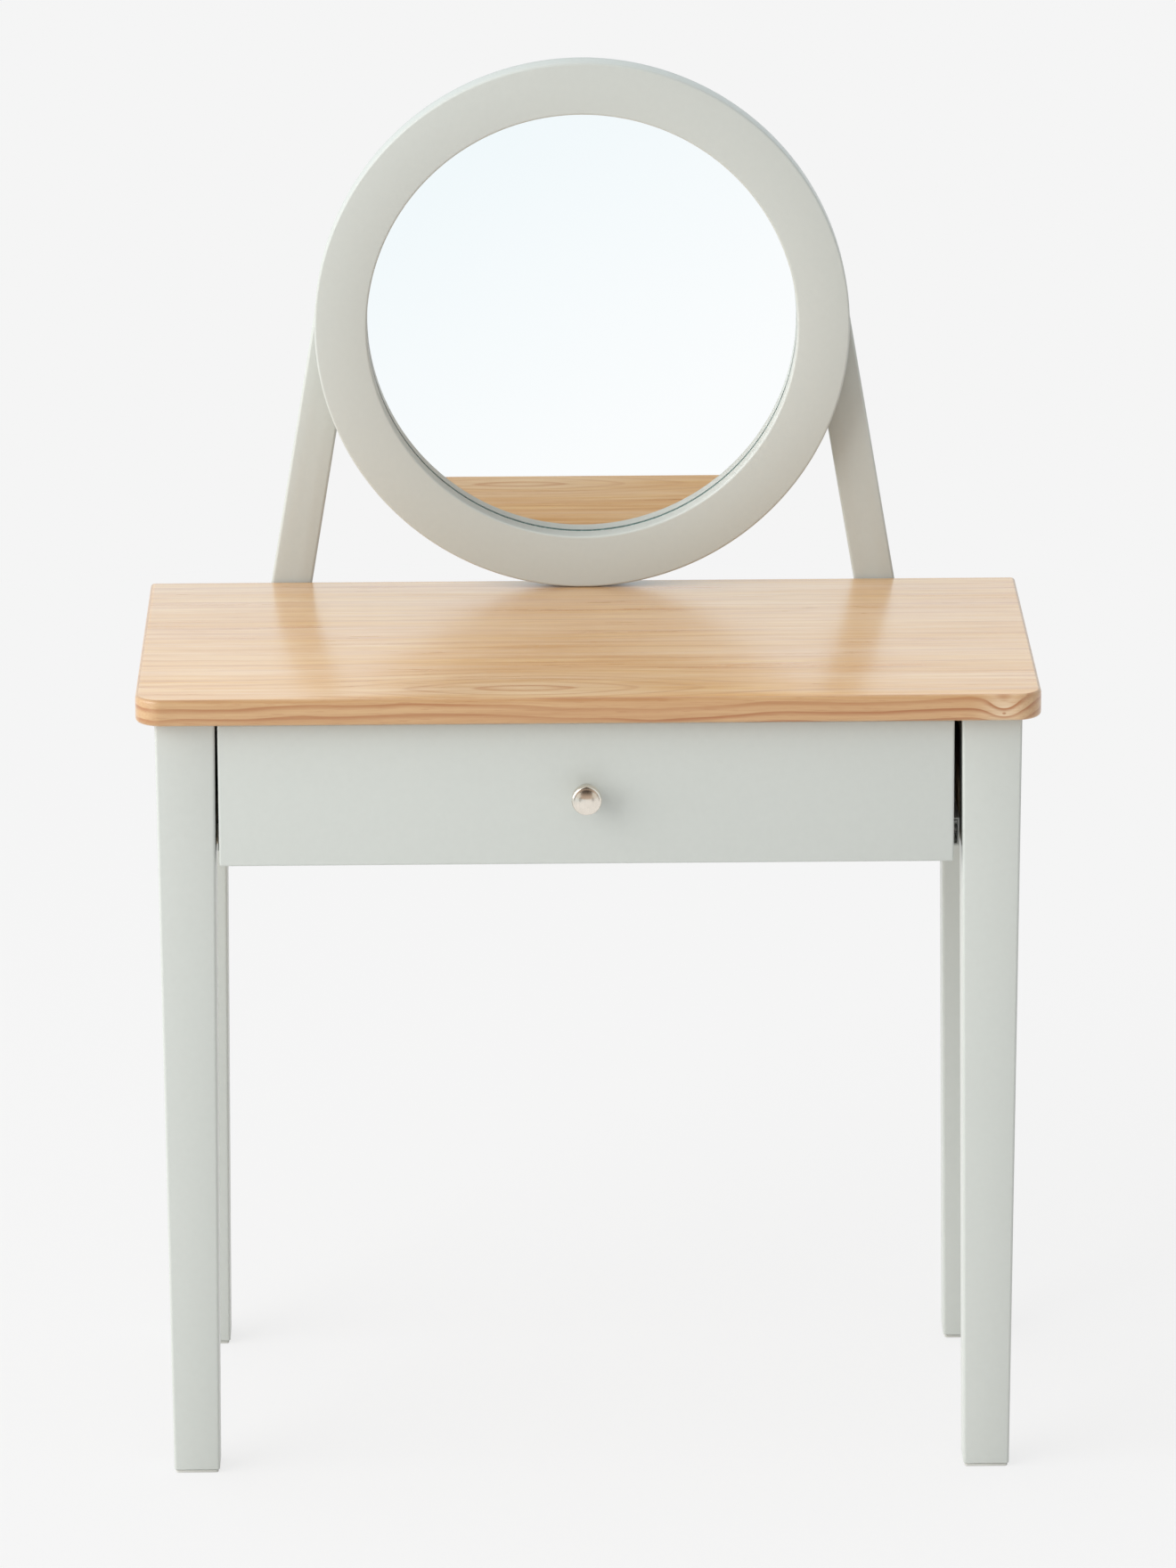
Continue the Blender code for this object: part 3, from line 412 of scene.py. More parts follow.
def oak_face():
    """The lacquered face of the top: straight grain, with a flame near the middle of the front edge."""
    low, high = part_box("table_top")
    flame = Vector((middle("table_top").x + FLAME_FROM_MIDDLE, low.y + FLAME_FROM_FRONT, high.z))
    return timber("oak_face", "X", pith=flame - Vector((0.0, 0.0, FLAME_PITH_DEPTH)),
                  # the oak's colour, made lighter than the edge's tones by painted light that stands in for
                  # the light from above on the top
                  tones=((0.710, 0.425, 0.215), (0.662, 0.318, 0.050), (0.480, 0.175, 0.035)),
                  bends=(((2.0, 9.0, 9.0), 0.024), ((7.0, 60.0, 60.0), 0.0030)),
                  ring_width=0.0140, ring_depth=0.80, ring_start=0.62, streak_depth=0.22, pore_depth=0.22,
                  rough=0.30, grain=(130.0, 480.0), pale_share=0.36, hump=(flame, FLAME_SIZE, -0.040),
                  coat_weight=0.7, coat_roughness=0.22)


def oak_edge():
    """The edge of the top, with flowing lines that dip round a pin knot near its right end."""
    low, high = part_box("table_top")
    knot = Vector((high.x - KNOT_FROM_END, low.y, high.z - KNOT_FROM_TOP))
    return timber("oak_edge", "X", pith=(0.0, low.y + EDGE_PITH_SETBACK, low.z - EDGE_PITH_DROP),
                  tones=((0.530, 0.332, 0.162), (0.470, 0.264, 0.116), (0.335, 0.124, 0.034)),
                  bends=(((5.0, 14.0, 14.0), 0.022), ((24.0, 160.0, 160.0), 0.0016)),
                  ring_width=0.0066, ring_depth=1.0, ring_start=0.42, streak_depth=0.14, pore_depth=0.30,
                  rough=0.36, grain=(300.0, 1100.0), hump=(knot, KNOT_SIZE, 0.0080),
                  dot=(knot - Vector((0.0, 0.0, KNOT_DOT_DROP)), KNOT_DOT_SIZE), coat_weight=0.7,
                  coat_roughness=0.30)


def birch(name, along):
    """Pale, even birch for the drawer box."""
    return timber(name, along, pith=(0.0, 0.30, 0.20),
                  tones=((0.740, 0.600, 0.425), (0.675, 0.530, 0.355), (0.500, 0.350, 0.200)),
                  bends=(((2.4, 9.0, 9.0), 0.030),), ring_width=0.011, ring_depth=0.40, ring_start=0.35,
                  streak_depth=0.06, pore_depth=0.12, rough=0.55, grain=(240.0, 900.0))


def mottled(name, tones, wander, rough, bump, grain=None, shading=0.0, relief=None, wander_span=None,
            rough_span=NOISE_SPAN, rough_by="grain", **sockets):
    """A finish that wanders between two tones, with a finer grain in its shade, its gloss and its relief.

    Wander, grain and relief are noises. Without a relief the grain is raised, and without a grain the
    wandering serves as grain.
    """
    f = Finish(name, **sockets)
    point = f.place()
    noises = {"wander": f.noise(point, *wander)}
    noises["grain"] = f.noise(point, *grain) if grain else noises["wander"]
    raised = f.noise(point, *relief) if relief else noises["grain"]
    share = f.remap(noises["wander"], *wander_span) if wander_span else noises["wander"]
    colour = f.mix(share, *tones)
    if shading:
        colour = f.shade(colour, noises["grain"], shading)
    roughness = f.remap(noises[rough_by], *rough_span, *rough)
    return f.done(base_color=colour, roughness=roughness, normal=f.bump(raised, *bump))


def satin_paint():
    """Sprayed satin paint, with the faint peel and uneven gloss of a spray gun."""
    return mottled("satin_paint", tones=((0.496, 0.519, 0.486), (0.516, 0.535, 0.504)), wander=(5.0,),
                   grain=(240.0,), shading=0.022, rough=(0.31, 0.41), rough_span=NOISE_CORE,
                   relief=(620.0,), bump=(0.00004, 0.30))


def brushed_nickel():
    """Nickel plate brushed upwards."""
    return mottled("nickel_plate", tones=((0.72, 0.665, 0.585), (0.80, 0.745, 0.665)), wander=(160.0,),
                   grain=((2600.0, 2600.0, 130.0), 3.0, 0.65), shading=0.12, rough=(0.10, 0.22),
                   bump=(0.00002, 0.35), metallic=1.0)


def zinc_plate():
    """Zinc plate, slightly clouded, with a blue and a yellow cast in patches."""
    return mottled("zinc_plate", tones=((0.60, 0.63, 0.67), (0.68, 0.66, 0.60)), wander=(70.0, 1.0),
                   grain=(220.0, 3.0), shading=0.14, rough=(0.26, 0.44), bump=(0.00002, 0.6), metallic=1.0)


def enamel():
    """Powder enamel on the slides, rubbed where the rollers run."""
    return mottled("powder_enamel", tones=((0.72, 0.73, 0.69), (0.58, 0.59, 0.57)),
                   wander=((260.0, 6.0, 260.0),), wander_span=(0.45, 0.75), grain=(480.0,), shading=0.03,
                   rough=(0.30, 0.48), rough_span=(0.3, 0.7), rough_by="wander", bump=(0.00005, 0.5))


def nylon():
    """Moulded nylon, slightly cloudy."""
    return mottled("moulded_nylon", tones=((0.76, 0.76, 0.73), (0.84, 0.84, 0.82)), wander=(320.0, 3.0),
                   rough=(0.42, 0.58), relief=(1400.0, 1.0), bump=(0.00003, 0.4), subsurface_weight=0.15,
                   subsurface_scale=0.002)


def glass_rim():
    """The cut edge of the mirror's glass, which looks dark green."""
    return mottled("glass_rim", tones=((0.055, 0.130, 0.125), (0.125, 0.240, 0.225)), wander=(500.0,),
                   rough=(0.15, 0.35), bump=(0.00005, 0.5), ior=1.52)


def pad_plastic():
    """The matt plastic of the glides."""
    return mottled("pad_plastic", tones=((0.50, 0.50, 0.46), (0.58, 0.58, 0.54)), wander=(60.0,),
                   grain=(1100.0, 3.0), shading=0.10, rough=(0.78, 0.92), bump=(0.0001, 0.6))


def hardboard():
    """Pressed fibre board with the mesh of its screen pressed into the back."""
    tones, rough = ((0.26, 0.165, 0.095), (0.34, 0.22, 0.13)), (0.72, 0.90)
    fibre_shading, screen_shading = 0.28, 0.10
    fibre_bump, screen_bump = (0.0001, 0.5), (0.0001, 0.6)
    f = Finish("pressed_fibre")
    point = f.place()
    fibres = f.noise(point, (900.0, 900.0, 260.0), detail=4.0, roughness=0.7)
    axes = f.node("ShaderNodeSeparateXYZ", [point])
    waves = [f.math("SINE", f.math("MULTIPLY", axes.outputs[a], FULL_TURN / SCREEN_PITCH)) for a in "XZ"]
    screen = f.math("MULTIPLY", *waves)
    colour = f.shade(f.mix(f.noise(point, 26.0), *tones), fibres, fibre_shading)
    colour = f.shade(colour, f.remap(screen, -1.0, 1.0), screen_shading)
    return f.done(base_color=colour, roughness=f.remap(fibres, *NOISE_SPAN, *rough),
                  normal=f.bump(screen, *screen_bump, f.bump(fibres, *fibre_bump)))


def silvering():
    """The silver behind the mirror's glass, with the faintest haze and specks."""
    tones, rough = ((0.955, 0.980, 0.985), (0.965, 0.985, 0.990)), (0.0, 0.012)
    speck_tone, speck_span, speck_share = (0.80, 0.83, 0.84), (0.74, 0.80), 0.05
    f = Finish("silvering", metallic=1.0)
    point = f.place()
    haze = f.noise(point, 9.0)
    specks = f.remap(f.noise(point, 900.0, detail=1.0), *speck_span)
    colour = f.mix(f.math("MULTIPLY", specks, speck_share), f.mix(haze, *tones), speck_tone)
    return f.done(base_color=colour, roughness=f.remap(haze, *NOISE_SPAN, *rough))


def make_finishes():
    """The material of each slot, and the extra ones that a slot's pieces share."""
    return {
        "painted_wood": satin_paint(), "oak": oak_face(), "oak_edge": oak_edge(),
        "drawer_birch": birch("birch_across", "X"), "birch_deep": birch("birch_deep", "Y"),
        "hardboard": hardboard(), "brushed_nickel": brushed_nickel(), "zinc_steel": zinc_plate(),
        "slide_enamel": enamel(), "roller_nylon": nylon(), "mirror_silver": silvering(),
        "glass_rim": glass_rim(), "glide_pad": pad_plastic(),
    }


def middle(node):
    """The middle of a node's box."""
    low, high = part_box(node)
    return (low + high) / 2


def arc(centre, radius, start_deg, end_deg, steps):
    """Points along an arc, both ends included."""
    angles = [math.radians(start_deg + (end_deg - start_deg) * i / steps) for i in range(steps + 1)]
    return [(centre[0] + radius * math.cos(a), centre[1] + radius * math.sin(a)) for a in angles]


def facing(origin, direction):
    """A frame at origin whose local Z points along direction."""
    turn = Vector(direction).to_track_quat("Z", "Y").to_matrix().to_4x4()
    return Matrix.Translation(origin) @ turn


def level_with(node, y, way):
    """A frame at y in front of or behind a node's middle, whose local Z points forwards or backwards."""
    centre = middle(node)
    return facing((centre.x, y, centre.z), (0, way, 0))


def turned(bm, profile, steps, place, closed=False):
    """A solid of revolution about local Z from (radius, height) pairs."""
    rings = []
    for radius, height in profile:
        angles = [0.0] if radius == 0 else [FULL_TURN * i / steps for i in range(steps)]
        points = [place @ Vector((radius * math.cos(a), radius * math.sin(a), height)) for a in angles]
        rings.append([bm.verts.new(p) for p in points])
    if closed:
        rings.append(rings[0])
    for one, two in zip(rings, rings[1:]):
        for i in range(steps):
            j = (i + 1) % steps
            corners = [one[i % len(one)], one[j % len(one)], two[j % len(two)], two[i % len(two)]]
            bm.faces.new(list(dict.fromkeys(corners)))


def loft(bm, lower, upper):
    """A closed solid between two outlines with as many points."""
    low = [bm.verts.new(p) for p in lower]
    high = [bm.verts.new(p) for p in upper]
    bm.faces.new(low[::-1])
    bm.faces.new(high)
    for i in range(len(low)):
        j = (i + 1) % len(low)
        bm.faces.new((low[i], low[j], high[j], high[i]))


def rises(edge):
    """True for an edge that runs mostly upwards."""
    way = edge.verts[1].co - edge.verts[0].co
    return abs(way.z) > ALONG_SHARE * way.length


def runs_back(edge):
    """True for an edge that runs from front to rear."""
    way = edge.verts[1].co - edge.verts[0].co
    return abs(way.y) > ALONG_SHARE * way.length


def is_sharp(edge):
    """True for an edge between two faces that turn sharply."""
    return len(edge.link_faces) == 2 and edge.calc_face_angle() > math.radians(SHARP_DEG)


def ease(bm, radius, wanted=is_sharp, steps=SMALL_STEPS):
    """Rounds the edges that the test picks."""
    bm.normal_update()
    bmesh.ops.bevel(bm, geom=[e for e in bm.edges if wanted(e)], offset=radius, segments=steps,
                    profile=ROUND_PROFILE, affect="EDGES", clamp_overlap=True)


def mesh_of(name, bm):
    """A mesh made of a bmesh, which is then freed."""
    mesh = bpy.data.meshes.new(name)
    bm.to_mesh(mesh)
    bm.free()
    return mesh


def smooth(mesh):
    """Shades a mesh smooth, up to its sharp edges."""
    mesh.shade_smooth()
    mesh.set_sharp_from_angle(angle=math.radians(SHARP_DEG))


def add_object(name, data):
    """An object in the scene that holds a mesh, a lamp or a camera."""
    made = bpy.data.objects.new(name, data)
    bpy.context.scene.collection.objects.link(made)
    return made


def dress(node, bm, *finishes):
    """Puts a fine mesh in the place of a node, on the node's body and with its slot's finish."""
    slot = slot_of_node[node]
    bmesh.ops.recalc_face_normals(bm, faces=bm.faces[:])
    mesh = mesh_of(node + "_fine", bm)
    smooth(mesh)
    for finish in finishes or [FINISHES[slot]]:
        mesh.materials.append(finish)
    piece = add_object(node + "_fine", mesh)
    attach(piece, body_of_node[node])
    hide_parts(node)
    return piece


def dress_eased(node, bm, edge, *finishes):
    """Puts a mesh in the place of a node, once its sharp edges are eased."""
    ease(bm, edge)
    return dress(node, bm, *finishes)


def carve(piece, tool_bm):
    """Cuts a tool's shape out of a piece for good."""
    bmesh.ops.recalc_face_normals(tool_bm, faces=tool_bm.faces[:])
    tool = add_object("tool", mesh_of("tool", tool_bm))
    modifier = piece.modifiers.new("carve", "BOOLEAN")
    modifier.operation = "DIFFERENCE"
    modifier.solver = "EXACT"
    modifier.object = tool
    evaluated = piece.evaluated_get(bpy.context.evaluated_depsgraph_get())
    piece.data = bpy.data.meshes.new_from_object(evaluated)
    piece.modifiers.clear()
    smooth(piece.data)
    bpy.data.objects.remove(tool)


def level_outline(node, at_top, grow=0.0):
    """The corners of the rectangle round a node's highest or lowest points."""
    points = [v.co for v in frame["nodes"][node].data.vertices]
    z = (max if at_top else min)(p.z for p in points)
    level = [p for p in points if abs(p.z - z) < LEVEL_BAND]
    x0, x1 = min(p.x for p in level) - grow, max(p.x for p in level) + grow
    y0, y1 = min(p.y for p in level) - grow, max(p.y for p in level) + grow
    return [(x0, y0, z), (x1, y0, z), (x1, y1, z), (x0, y1, z)]


def bar(node, grow=0.0):
    """A bar between a node's lowest and highest outlines."""
    bm = bmesh.new()
    loft(bm, level_outline(node, False, grow), level_outline(node, True, grow))
    return bm


def block(node):
    """A box as large as a node's."""
    low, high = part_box(node)
    bm = bmesh.new()
    size = Matrix.Diagonal((*(high - low), 1.0))
    bmesh.ops.create_cube(bm, size=1.0, matrix=Matrix.Translation(middle(node)) @ size)
    return bm


def welded(node):
    """A node's own shape, with its split corners joined and its flat faces whole."""
    bm = bmesh.new()
    bm.from_mesh(frame["nodes"][node].data)
    bmesh.ops.remove_doubles(bm, verts=bm.verts[:], dist=WELD_DISTANCE)
    bmesh.ops.dissolve_limit(bm, angle_limit=math.radians(FLAT_DEG), verts=bm.verts[:], edges=bm.edges[:])
    return bm


def shank_tool(bm, node, radius):
    """A hole for the shank of a screw that points along Y, open behind its head."""
    low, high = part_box(node)
    bore, depth = radius + HOLE_CLEARANCE, high.y - low.y + HOLE_SPARE_DEPTH + CUT_OVERRUN
    place = level_with(node, low.y - HOLE_SPARE_DEPTH, BACKWARDS)
    turned(bm, [(0, 0), (bore, 0), (bore, depth), (0, depth)], SCREW_STEPS, place)


def drill(piece, *groups):
    """Drills a piece for its screws, each group of them given as a radius and their nodes."""
    holes = bmesh.new()
    for radius, nodes in groups:
        for node in nodes:
            shank_tool(holes, node, radius)
    carve(piece, holes)


def bolts(group, *sides):
    """The nodes of a group of bolts at the given sides."""
    return ["_".join((group, level, side)) for side in sides for level in LEVELS]


def make_top():
    """The board, with rounded front corners and eased rims."""
    low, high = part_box("table_top")
    front, rear = TOP_FRONT_RADIUS, TOP_REAR_RADIUS
    outline = arc((low.x + front, low.y + front), front, 180, 270, TOP_CORNER_STEPS)
    outline += arc((high.x - front, low.y + front), front, 270, 360, TOP_CORNER_STEPS)
    outline += arc((high.x - rear, high.y - rear), rear, 0, 90, EASE_STEPS)
    outline += arc((low.x + rear, high.y - rear), rear, 90, 180, EASE_STEPS)
    bm = bmesh.new()
    loft(bm, [(x, y, low.z) for x, y in outline], [(x, y, high.z) for x, y in outline])
    ease(bm, TOP_EDGE, lambda e: not rises(e), TOP_EDGE_STEPS)
    bm.normal_update()
    for face in bm.faces:
        face.material_index = 0 if abs(face.normal.z) > FACE_SHARE else 1
    dress("table_top", bm, FINISHES["oak"], FINISHES["oak_edge"])


def make_legs():
    """The tapered legs, rounded along their length and eased at the foot, on their glides."""
    for corner in ["_".join((end, side)) for end in ENDS for side in SIDES]:
        leg, glide = bar("leg_" + corner), block("glide_" + corner)
        ease(leg, LEG_EDGE, rises, EASE_STEPS)
        dress_eased("leg_" + corner, leg, LEG_END_EDGE)
        ease(glide, LEG_EDGE, rises, EASE_STEPS)
        dress_eased("glide_" + corner, glide, PAD_EDGE)


def cross_tool(place, radius, depth):
    """Two crossed bars that cut a recess into a face at local Z zero."""
    bm = bmesh.new()
    long, short = radius * RECESS_LENGTH_SHARE, radius * RECESS_WIDTH_SHARE
    outline = [(short, short), (short, long), (-short, long), (-short, short), (-long, short),
               (-long, -short), (-short, -short), (-short, -long), (short, -long), (short, -short),
               (long, -short), (long, short)]
    taper = 1 - RECESS_WIDTH_SHARE * 2
    loft(bm, [place @ Vector((x, y, -CUT_OVERRUN)) for x, y in outline],
         [place @ Vector((x * taper, y * taper, depth)) for x, y in outline])
    return bm


def cam_measures(node, direction):
    """A frame at a cam's face, whose local Z points into the wood, and the cam's radius and depth."""
    low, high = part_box(node)
    depth = abs((high - low).dot(Vector(direction)))
    return facing(middle(node) - Vector(direction) * depth / 2, direction), (high.z - low.z) / 2, depth


def make_cam(node, direction, pockets):
    """A cam fastener with an eased rim and a cross recess, and its round pocket among the pockets."""
    place, radius, depth = cam_measures(node, direction)
    bore, floor = radius + HOLE_CLEARANCE, depth + HOLE_CLEARANCE
    turned(pockets, [(0, -CUT_OVERRUN), (bore, -CUT_OVERRUN), (bore, floor), (0, floor)], CAM_STEPS, place)
    rim = arc((radius - CAM_EDGE, CAM_EDGE), CAM_EDGE, 270, 360, SMALL_STEPS)
    bm = bmesh.new()
    turned(bm, [(0, 0), *rim, (radius, depth), (0, depth)], CAM_STEPS, place)
    carve(dress(node, bm), cross_tool(place, radius, CAM_RECESS_DEPTH))


def make_aprons():
    """The side and rear boards under the top, with their cams in pockets."""
    for side, outward in zip(SIDES, (-1, 1)):
        apron = dress_eased("apron_" + side, bar("apron_" + side), BOARD_EDGE)
        pockets = bmesh.new()
        for end in ENDS:
            make_cam("_".join(("cam", side, end)), (outward, 0, 0), pockets)
        carve(apron, pockets)
    apron = dress_eased("apron_rear", bar("apron_rear"), BOARD_EDGE)
    cuts = bmesh.new()
    for side in SIDES:
        make_cam("cam_rear_apron_" + side, (0, BACKWARDS, 0), cuts)
        for bolt in bolts("apron_bolt", side):
            shank_tool(cuts, bolt, BOLT_RADIUS)
    carve(apron, cuts)


def make_blocks():
    """The battens beside the slides and the corner blocks under the top."""
    for side in SIDES:
        dress_eased("slide_batten_" + side, block("slide_batten_" + side), BOX_EDGE, FINISHES["birch_deep"])
        for node in ["_".join(("top_block", end, side)) for end in ENDS]:
            dress_eased(node, block(node), BOARD_EDGE, FINISHES["birch_deep"])


def make_drawer():
    """The drawer's front and box."""
    panel = block("drawer_front")
    ease(panel, PANEL_EDGE, is_sharp, EASE_STEPS)
    drill(dress("drawer_front", panel), (KNOB_SCREW_RADIUS, ["knob_screw"]))
    for node in ("drawer_side_left", "drawer_side_right"):
        dress_eased(node, welded(node), BOX_EDGE, FINISHES["birch_deep"])
    dress_eased("drawer_back", welded("drawer_back"), BOX_EDGE)
    dress_eased("drawer_bottom", block("drawer_bottom"), THIN_EDGE)


def knob_profile(length, head):
    """The knob's outline from its foot to the middle of its face."""
    face = length - KNOB_CROWN
    under = face - KNOB_HEAD_THICKNESS
    foot, edge = KNOB_FOOT_RADIUS, KNOB_FOOT_EDGE
    outline = [(0, 0), (foot, 0), *arc((foot - edge, KNOB_FOOT_HEIGHT - edge), edge, 0, 90, SMALL_STEPS)]
    outline.append((KNOB_NECK_RADIUS, KNOB_FOOT_HEIGHT))
    for i in range(KNOB_ARC_STEPS + 1):
        a = math.pi / 2 * i / KNOB_ARC_STEPS
        reach = (head - KNOB_NECK_RADIUS) * (1 - math.cos(a))
        outline.append((KNOB_NECK_RADIUS + reach, under - KNOB_FLARE * (1 - math.sin(a))))
    outline += arc((head - KNOB_RIM, face - KNOB_RIM), KNOB_RIM, 0, 90, KNOB_ARC_STEPS)
    for i in range(1, KNOB_CROWN_STEPS + 1):
        outward = 1 - i / KNOB_CROWN_STEPS
        outline.append(((head - KNOB_RIM) * outward, face + KNOB_CROWN * (1 - outward ** 2)))
    return outline


def make_knob():
    """The round knob, bored for its screw."""
    low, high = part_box("knob")
    profile = knob_profile(high.y - low.y, (high.x - low.x) / 2)
    bm = bmesh.new()
    turned(bm, profile, KNOB_STEPS, level_with("knob", high.y, FORWARDS))
    drill(dress("knob", bm), (KNOB_SCREW_RADIUS, ["knob_screw"]))


def make_screw(node, shank, head_height):
    """A screw that points along -Y, with a domed head and a cross recess."""
    low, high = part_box(node)
    head = (high.x - low.x) / 2
    length = high.y - low.y - head_height
    rim = head_height * HEAD_RIM_SHARE
    profile = [(0, length), (shank, length), (shank, 0), (head, 0)]
    for i in range(HEAD_STEPS):
        a = math.pi / 2 * i / HEAD_STEPS
        profile.append((head * math.cos(a), -rim - (head_height - rim) * math.sin(a)))
    profile.append((0, -head_height))
    bm = bmesh.new()
    turned(bm, profile, SCREW_STEPS, level_with(node, high.y - head_height, FORWARDS))
    mouth = level_with(node, high.y, FORWARDS)
    carve(dress(node, bm), cross_tool(mouth, head, head_height * RECESS_DEPTH_SHARE))


def make_fasteners():
    """The posts' bolts, the clips' screws and the knob's screw."""
    for side in SIDES:
        for node in bolts("ring_bolt", side) + bolts("apron_bolt", side):
            make_screw(node, BOLT_RADIUS, BOLT_HEAD_HEIGHT)
    for node in CLIP_SCREWS:
        make_screw(node, CLIP_SCREW_RADIUS, CLIP_SCREW_HEAD_HEIGHT)
    make_screw("knob_screw", KNOB_SCREW_RADIUS, KNOB_SCREW_HEAD_HEIGHT)


def make_rails():
    """The slides' rails, with their bends rounded."""
    for node in ("cabinet_rail_left", "cabinet_rail_right", "drawer_rail_left", "drawer_rail_right"):
        bm = welded(node)
        ease(bm, RAIL_BEND, lambda e: is_sharp(e) and runs_back(e))
        dress(node, bm)


def make_rollers():
    """The nylon rollers, dished between hub and tread."""
    for node in ("cabinet_roller_left", "cabinet_roller_right", "drawer_roller_left", "drawer_roller_right"):
        low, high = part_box(node)
        radius, half, edge = (high.z - low.z) / 2, (high.x - low.x) / 2, ROLLER_EDGE
        side = [(ROLLER_BORE, half), (ROLLER_HUB_RADIUS, half), (ROLLER_HUB_RADIUS, half - ROLLER_DISH),
                (radius - ROLLER_RIM_WIDTH, half - ROLLER_DISH), (radius - ROLLER_RIM_WIDTH, half)]
        side += arc((radius - edge, half - edge), edge, 90, 0, SMALL_STEPS)
        profile = side + [(r, -h) for r, h in reversed(side)]
        bm = bmesh.new()
        turned(bm, profile, ROLLER_STEPS, facing(middle(node), (1, 0, 0)), closed=True)
        dress(node, bm)


def make_ring():
    """The flat ring, with rounded rims and the rebate behind for the glass."""
    low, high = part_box("mirror_frame")
    glass_low, glass_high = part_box("mirror_glass")
    outer, inner, depth = (high.x - low.x) / 2, RING_OPENING_RADIUS, high.y - low.y
    rebate = (glass_high.x - glass_low.x) / 2 + LIP_GAP
    lip = high.y - glass_low.y + LIP_GAP
    front, rear = RING_FRONT_EDGE, RING_REAR_EDGE
    profile = arc((outer - rear, rear), rear, 270, 360, SMALL_STEPS)
    profile += arc((outer - front, depth - front), front, 0, 90, EASE_STEPS)
    profile += arc((inner + front, depth - front), front, 90, 180, EASE_STEPS)
    profile += [(inner, lip), (rebate, lip), (rebate, 0)]
    bm = bmesh.new()
    turned(bm, profile, RING_STEPS, level_with("mirror_frame", high.y, FORWARDS), closed=True)
    ring = dress("mirror_frame", bm)
    drill(ring, (BOLT_RADIUS, bolts("ring_bolt", *SIDES)), (CLIP_SCREW_RADIUS, CLIP_SCREWS))


def make_glass():
    """The mirror's glass, silvered behind."""
    low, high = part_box("mirror_glass")
    radius, seen = (high.x - low.x) / 2, RING_OPENING_RADIUS + SILVER_RADIUS_SPARE
    thickness, deep = high.y - low.y, SILVER_DEPTH
    profile = [(0, deep), (seen, deep), (seen, 0), (radius, 0), (radius, thickness), (0, thickness)]
    bm = bmesh.new()
    turned(bm, profile, RING_STEPS, level_with("mirror_glass", low.y, BACKWARDS))
    for face in bm.faces:
        at_silver = all(abs(v.co.y - low.y - deep) < LEVEL_BAND for v in face.verts)
        face.material_index = 0 if at_silver else 1
    dress("mirror_glass", bm, FINISHES["mirror_silver"], FINISHES["glass_rim"])


def make_backing():
    """The board behind the mirror's glass."""
    low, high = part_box("mirror_backing")
    radius, thickness, edge = (high.x - low.x) / 2, high.y - low.y, BACKING_EDGE
    rim = arc((radius - edge, thickness - edge), edge, 0, 90, SMALL_STEPS)
    profile = [(0, 0), (radius, 0), *rim, (0, thickness)]
    bm = bmesh.new()
    turned(bm, profile, RING_STEPS, level_with("mirror_backing", low.y, BACKWARDS))
    dress("mirror_backing", bm)


def make_posts():
    """The leaning posts, with holes for their bolts."""
    for side in SIDES:
        bm = bar("post_" + side, POST_EDGE)
        ease(bm, POST_EDGE, is_sharp, EASE_STEPS)
        nodes = bolts("ring_bolt", side) + bolts("apron_bolt", side)
        drill(dress("post_" + side, bm), (BOLT_RADIUS, nodes))


def make_clips():
    """The steel clips across the backing board's edge, with rounded corners."""
    hub = middle("mirror_frame")
    x, y = CLIP_LENGTH / 2 - CLIP_CORNER, CLIP_WIDTH / 2 - CLIP_CORNER
    outline = []
    for cx, cy, start in ((x, y, 0), (-x, y, 90), (-x, -y, 180), (x, -y, 270)):
        outline += arc((cx, cy), CLIP_CORNER, start, start + 90, CLIP_CORNER_STEPS)
    for place in CLIP_PLACES:
        node = "backing_clip_" + place
        low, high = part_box(node)
        away = Vector((middle(node).x - hub.x, 0, middle(node).z - hub.z)).normalized()
        across = away.cross(Vector((0, 1, 0)))
        flat = [middle(node) + away * u + across * v for u, v in outline]
        bm = bmesh.new()
        loft(bm, [Vector((p.x, low.y, p.z)) for p in flat], [Vector((p.x, high.y, p.z)) for p in flat])
        drill(dress(node, bm), (CLIP_SCREW_RADIUS, ["clip_screw_" + place]))


def make_camera():
    """The camera, without shift or depth of field."""
    yaw, pitch, roll = (math.radians(a) for a in (CAMERA_YAW_DEG, CAMERA_PITCH_DEG, CAMERA_ROLL_DEG))
    forward = Vector((math.sin(yaw) * math.cos(pitch), math.cos(yaw) * math.cos(pitch), -math.sin(pitch)))
    right = Vector((math.cos(yaw), -math.sin(yaw), 0))
    down = forward.cross(right)
    across = right * math.cos(roll) + down * math.sin(roll)
    below = down * math.cos(roll) - right * math.sin(roll)
    data = bpy.data.cameras.new("camera")
    data.lens = CAMERA_LENS_MM
    data.sensor_width = CAMERA_SENSOR_MM
    data.clip_start, data.clip_end = CAMERA_CLIP
    camera = add_object("camera", data)
    turn = Matrix((across, -below, -forward)).transposed().to_4x4()
    camera.matrix_world = Matrix.Translation(CAMERA_PLACE) @ turn
    bpy.context.scene.camera = camera


def grey(level):
    """A colour without a cast."""
    return (level,) * 3


def seen_directly(n):
    """The share of rays that come from the camera or by a gloss, and of those from the camera alone."""
    path = n.node("ShaderNodeLightPath")
    camera = path.outputs["Is Camera Ray"]
    bounced = n.math("MAXIMUM", path.outputs["Is Glossy Ray"], path.outputs["Is Transmission Ray"])
    return n.math("MAXIMUM", camera, bounced), camera


def sideways_slope(n, axes):
    """How far sideways a direction points for each step forwards, in front of the table."""
    forward = n.math("MAXIMUM", n.math("MULTIPLY", axes.outputs["Y"], -1.0), SMALLEST)
    return n.math("DIVIDE", n.math("ABSOLUTE", axes.outputs["X"]), forward)


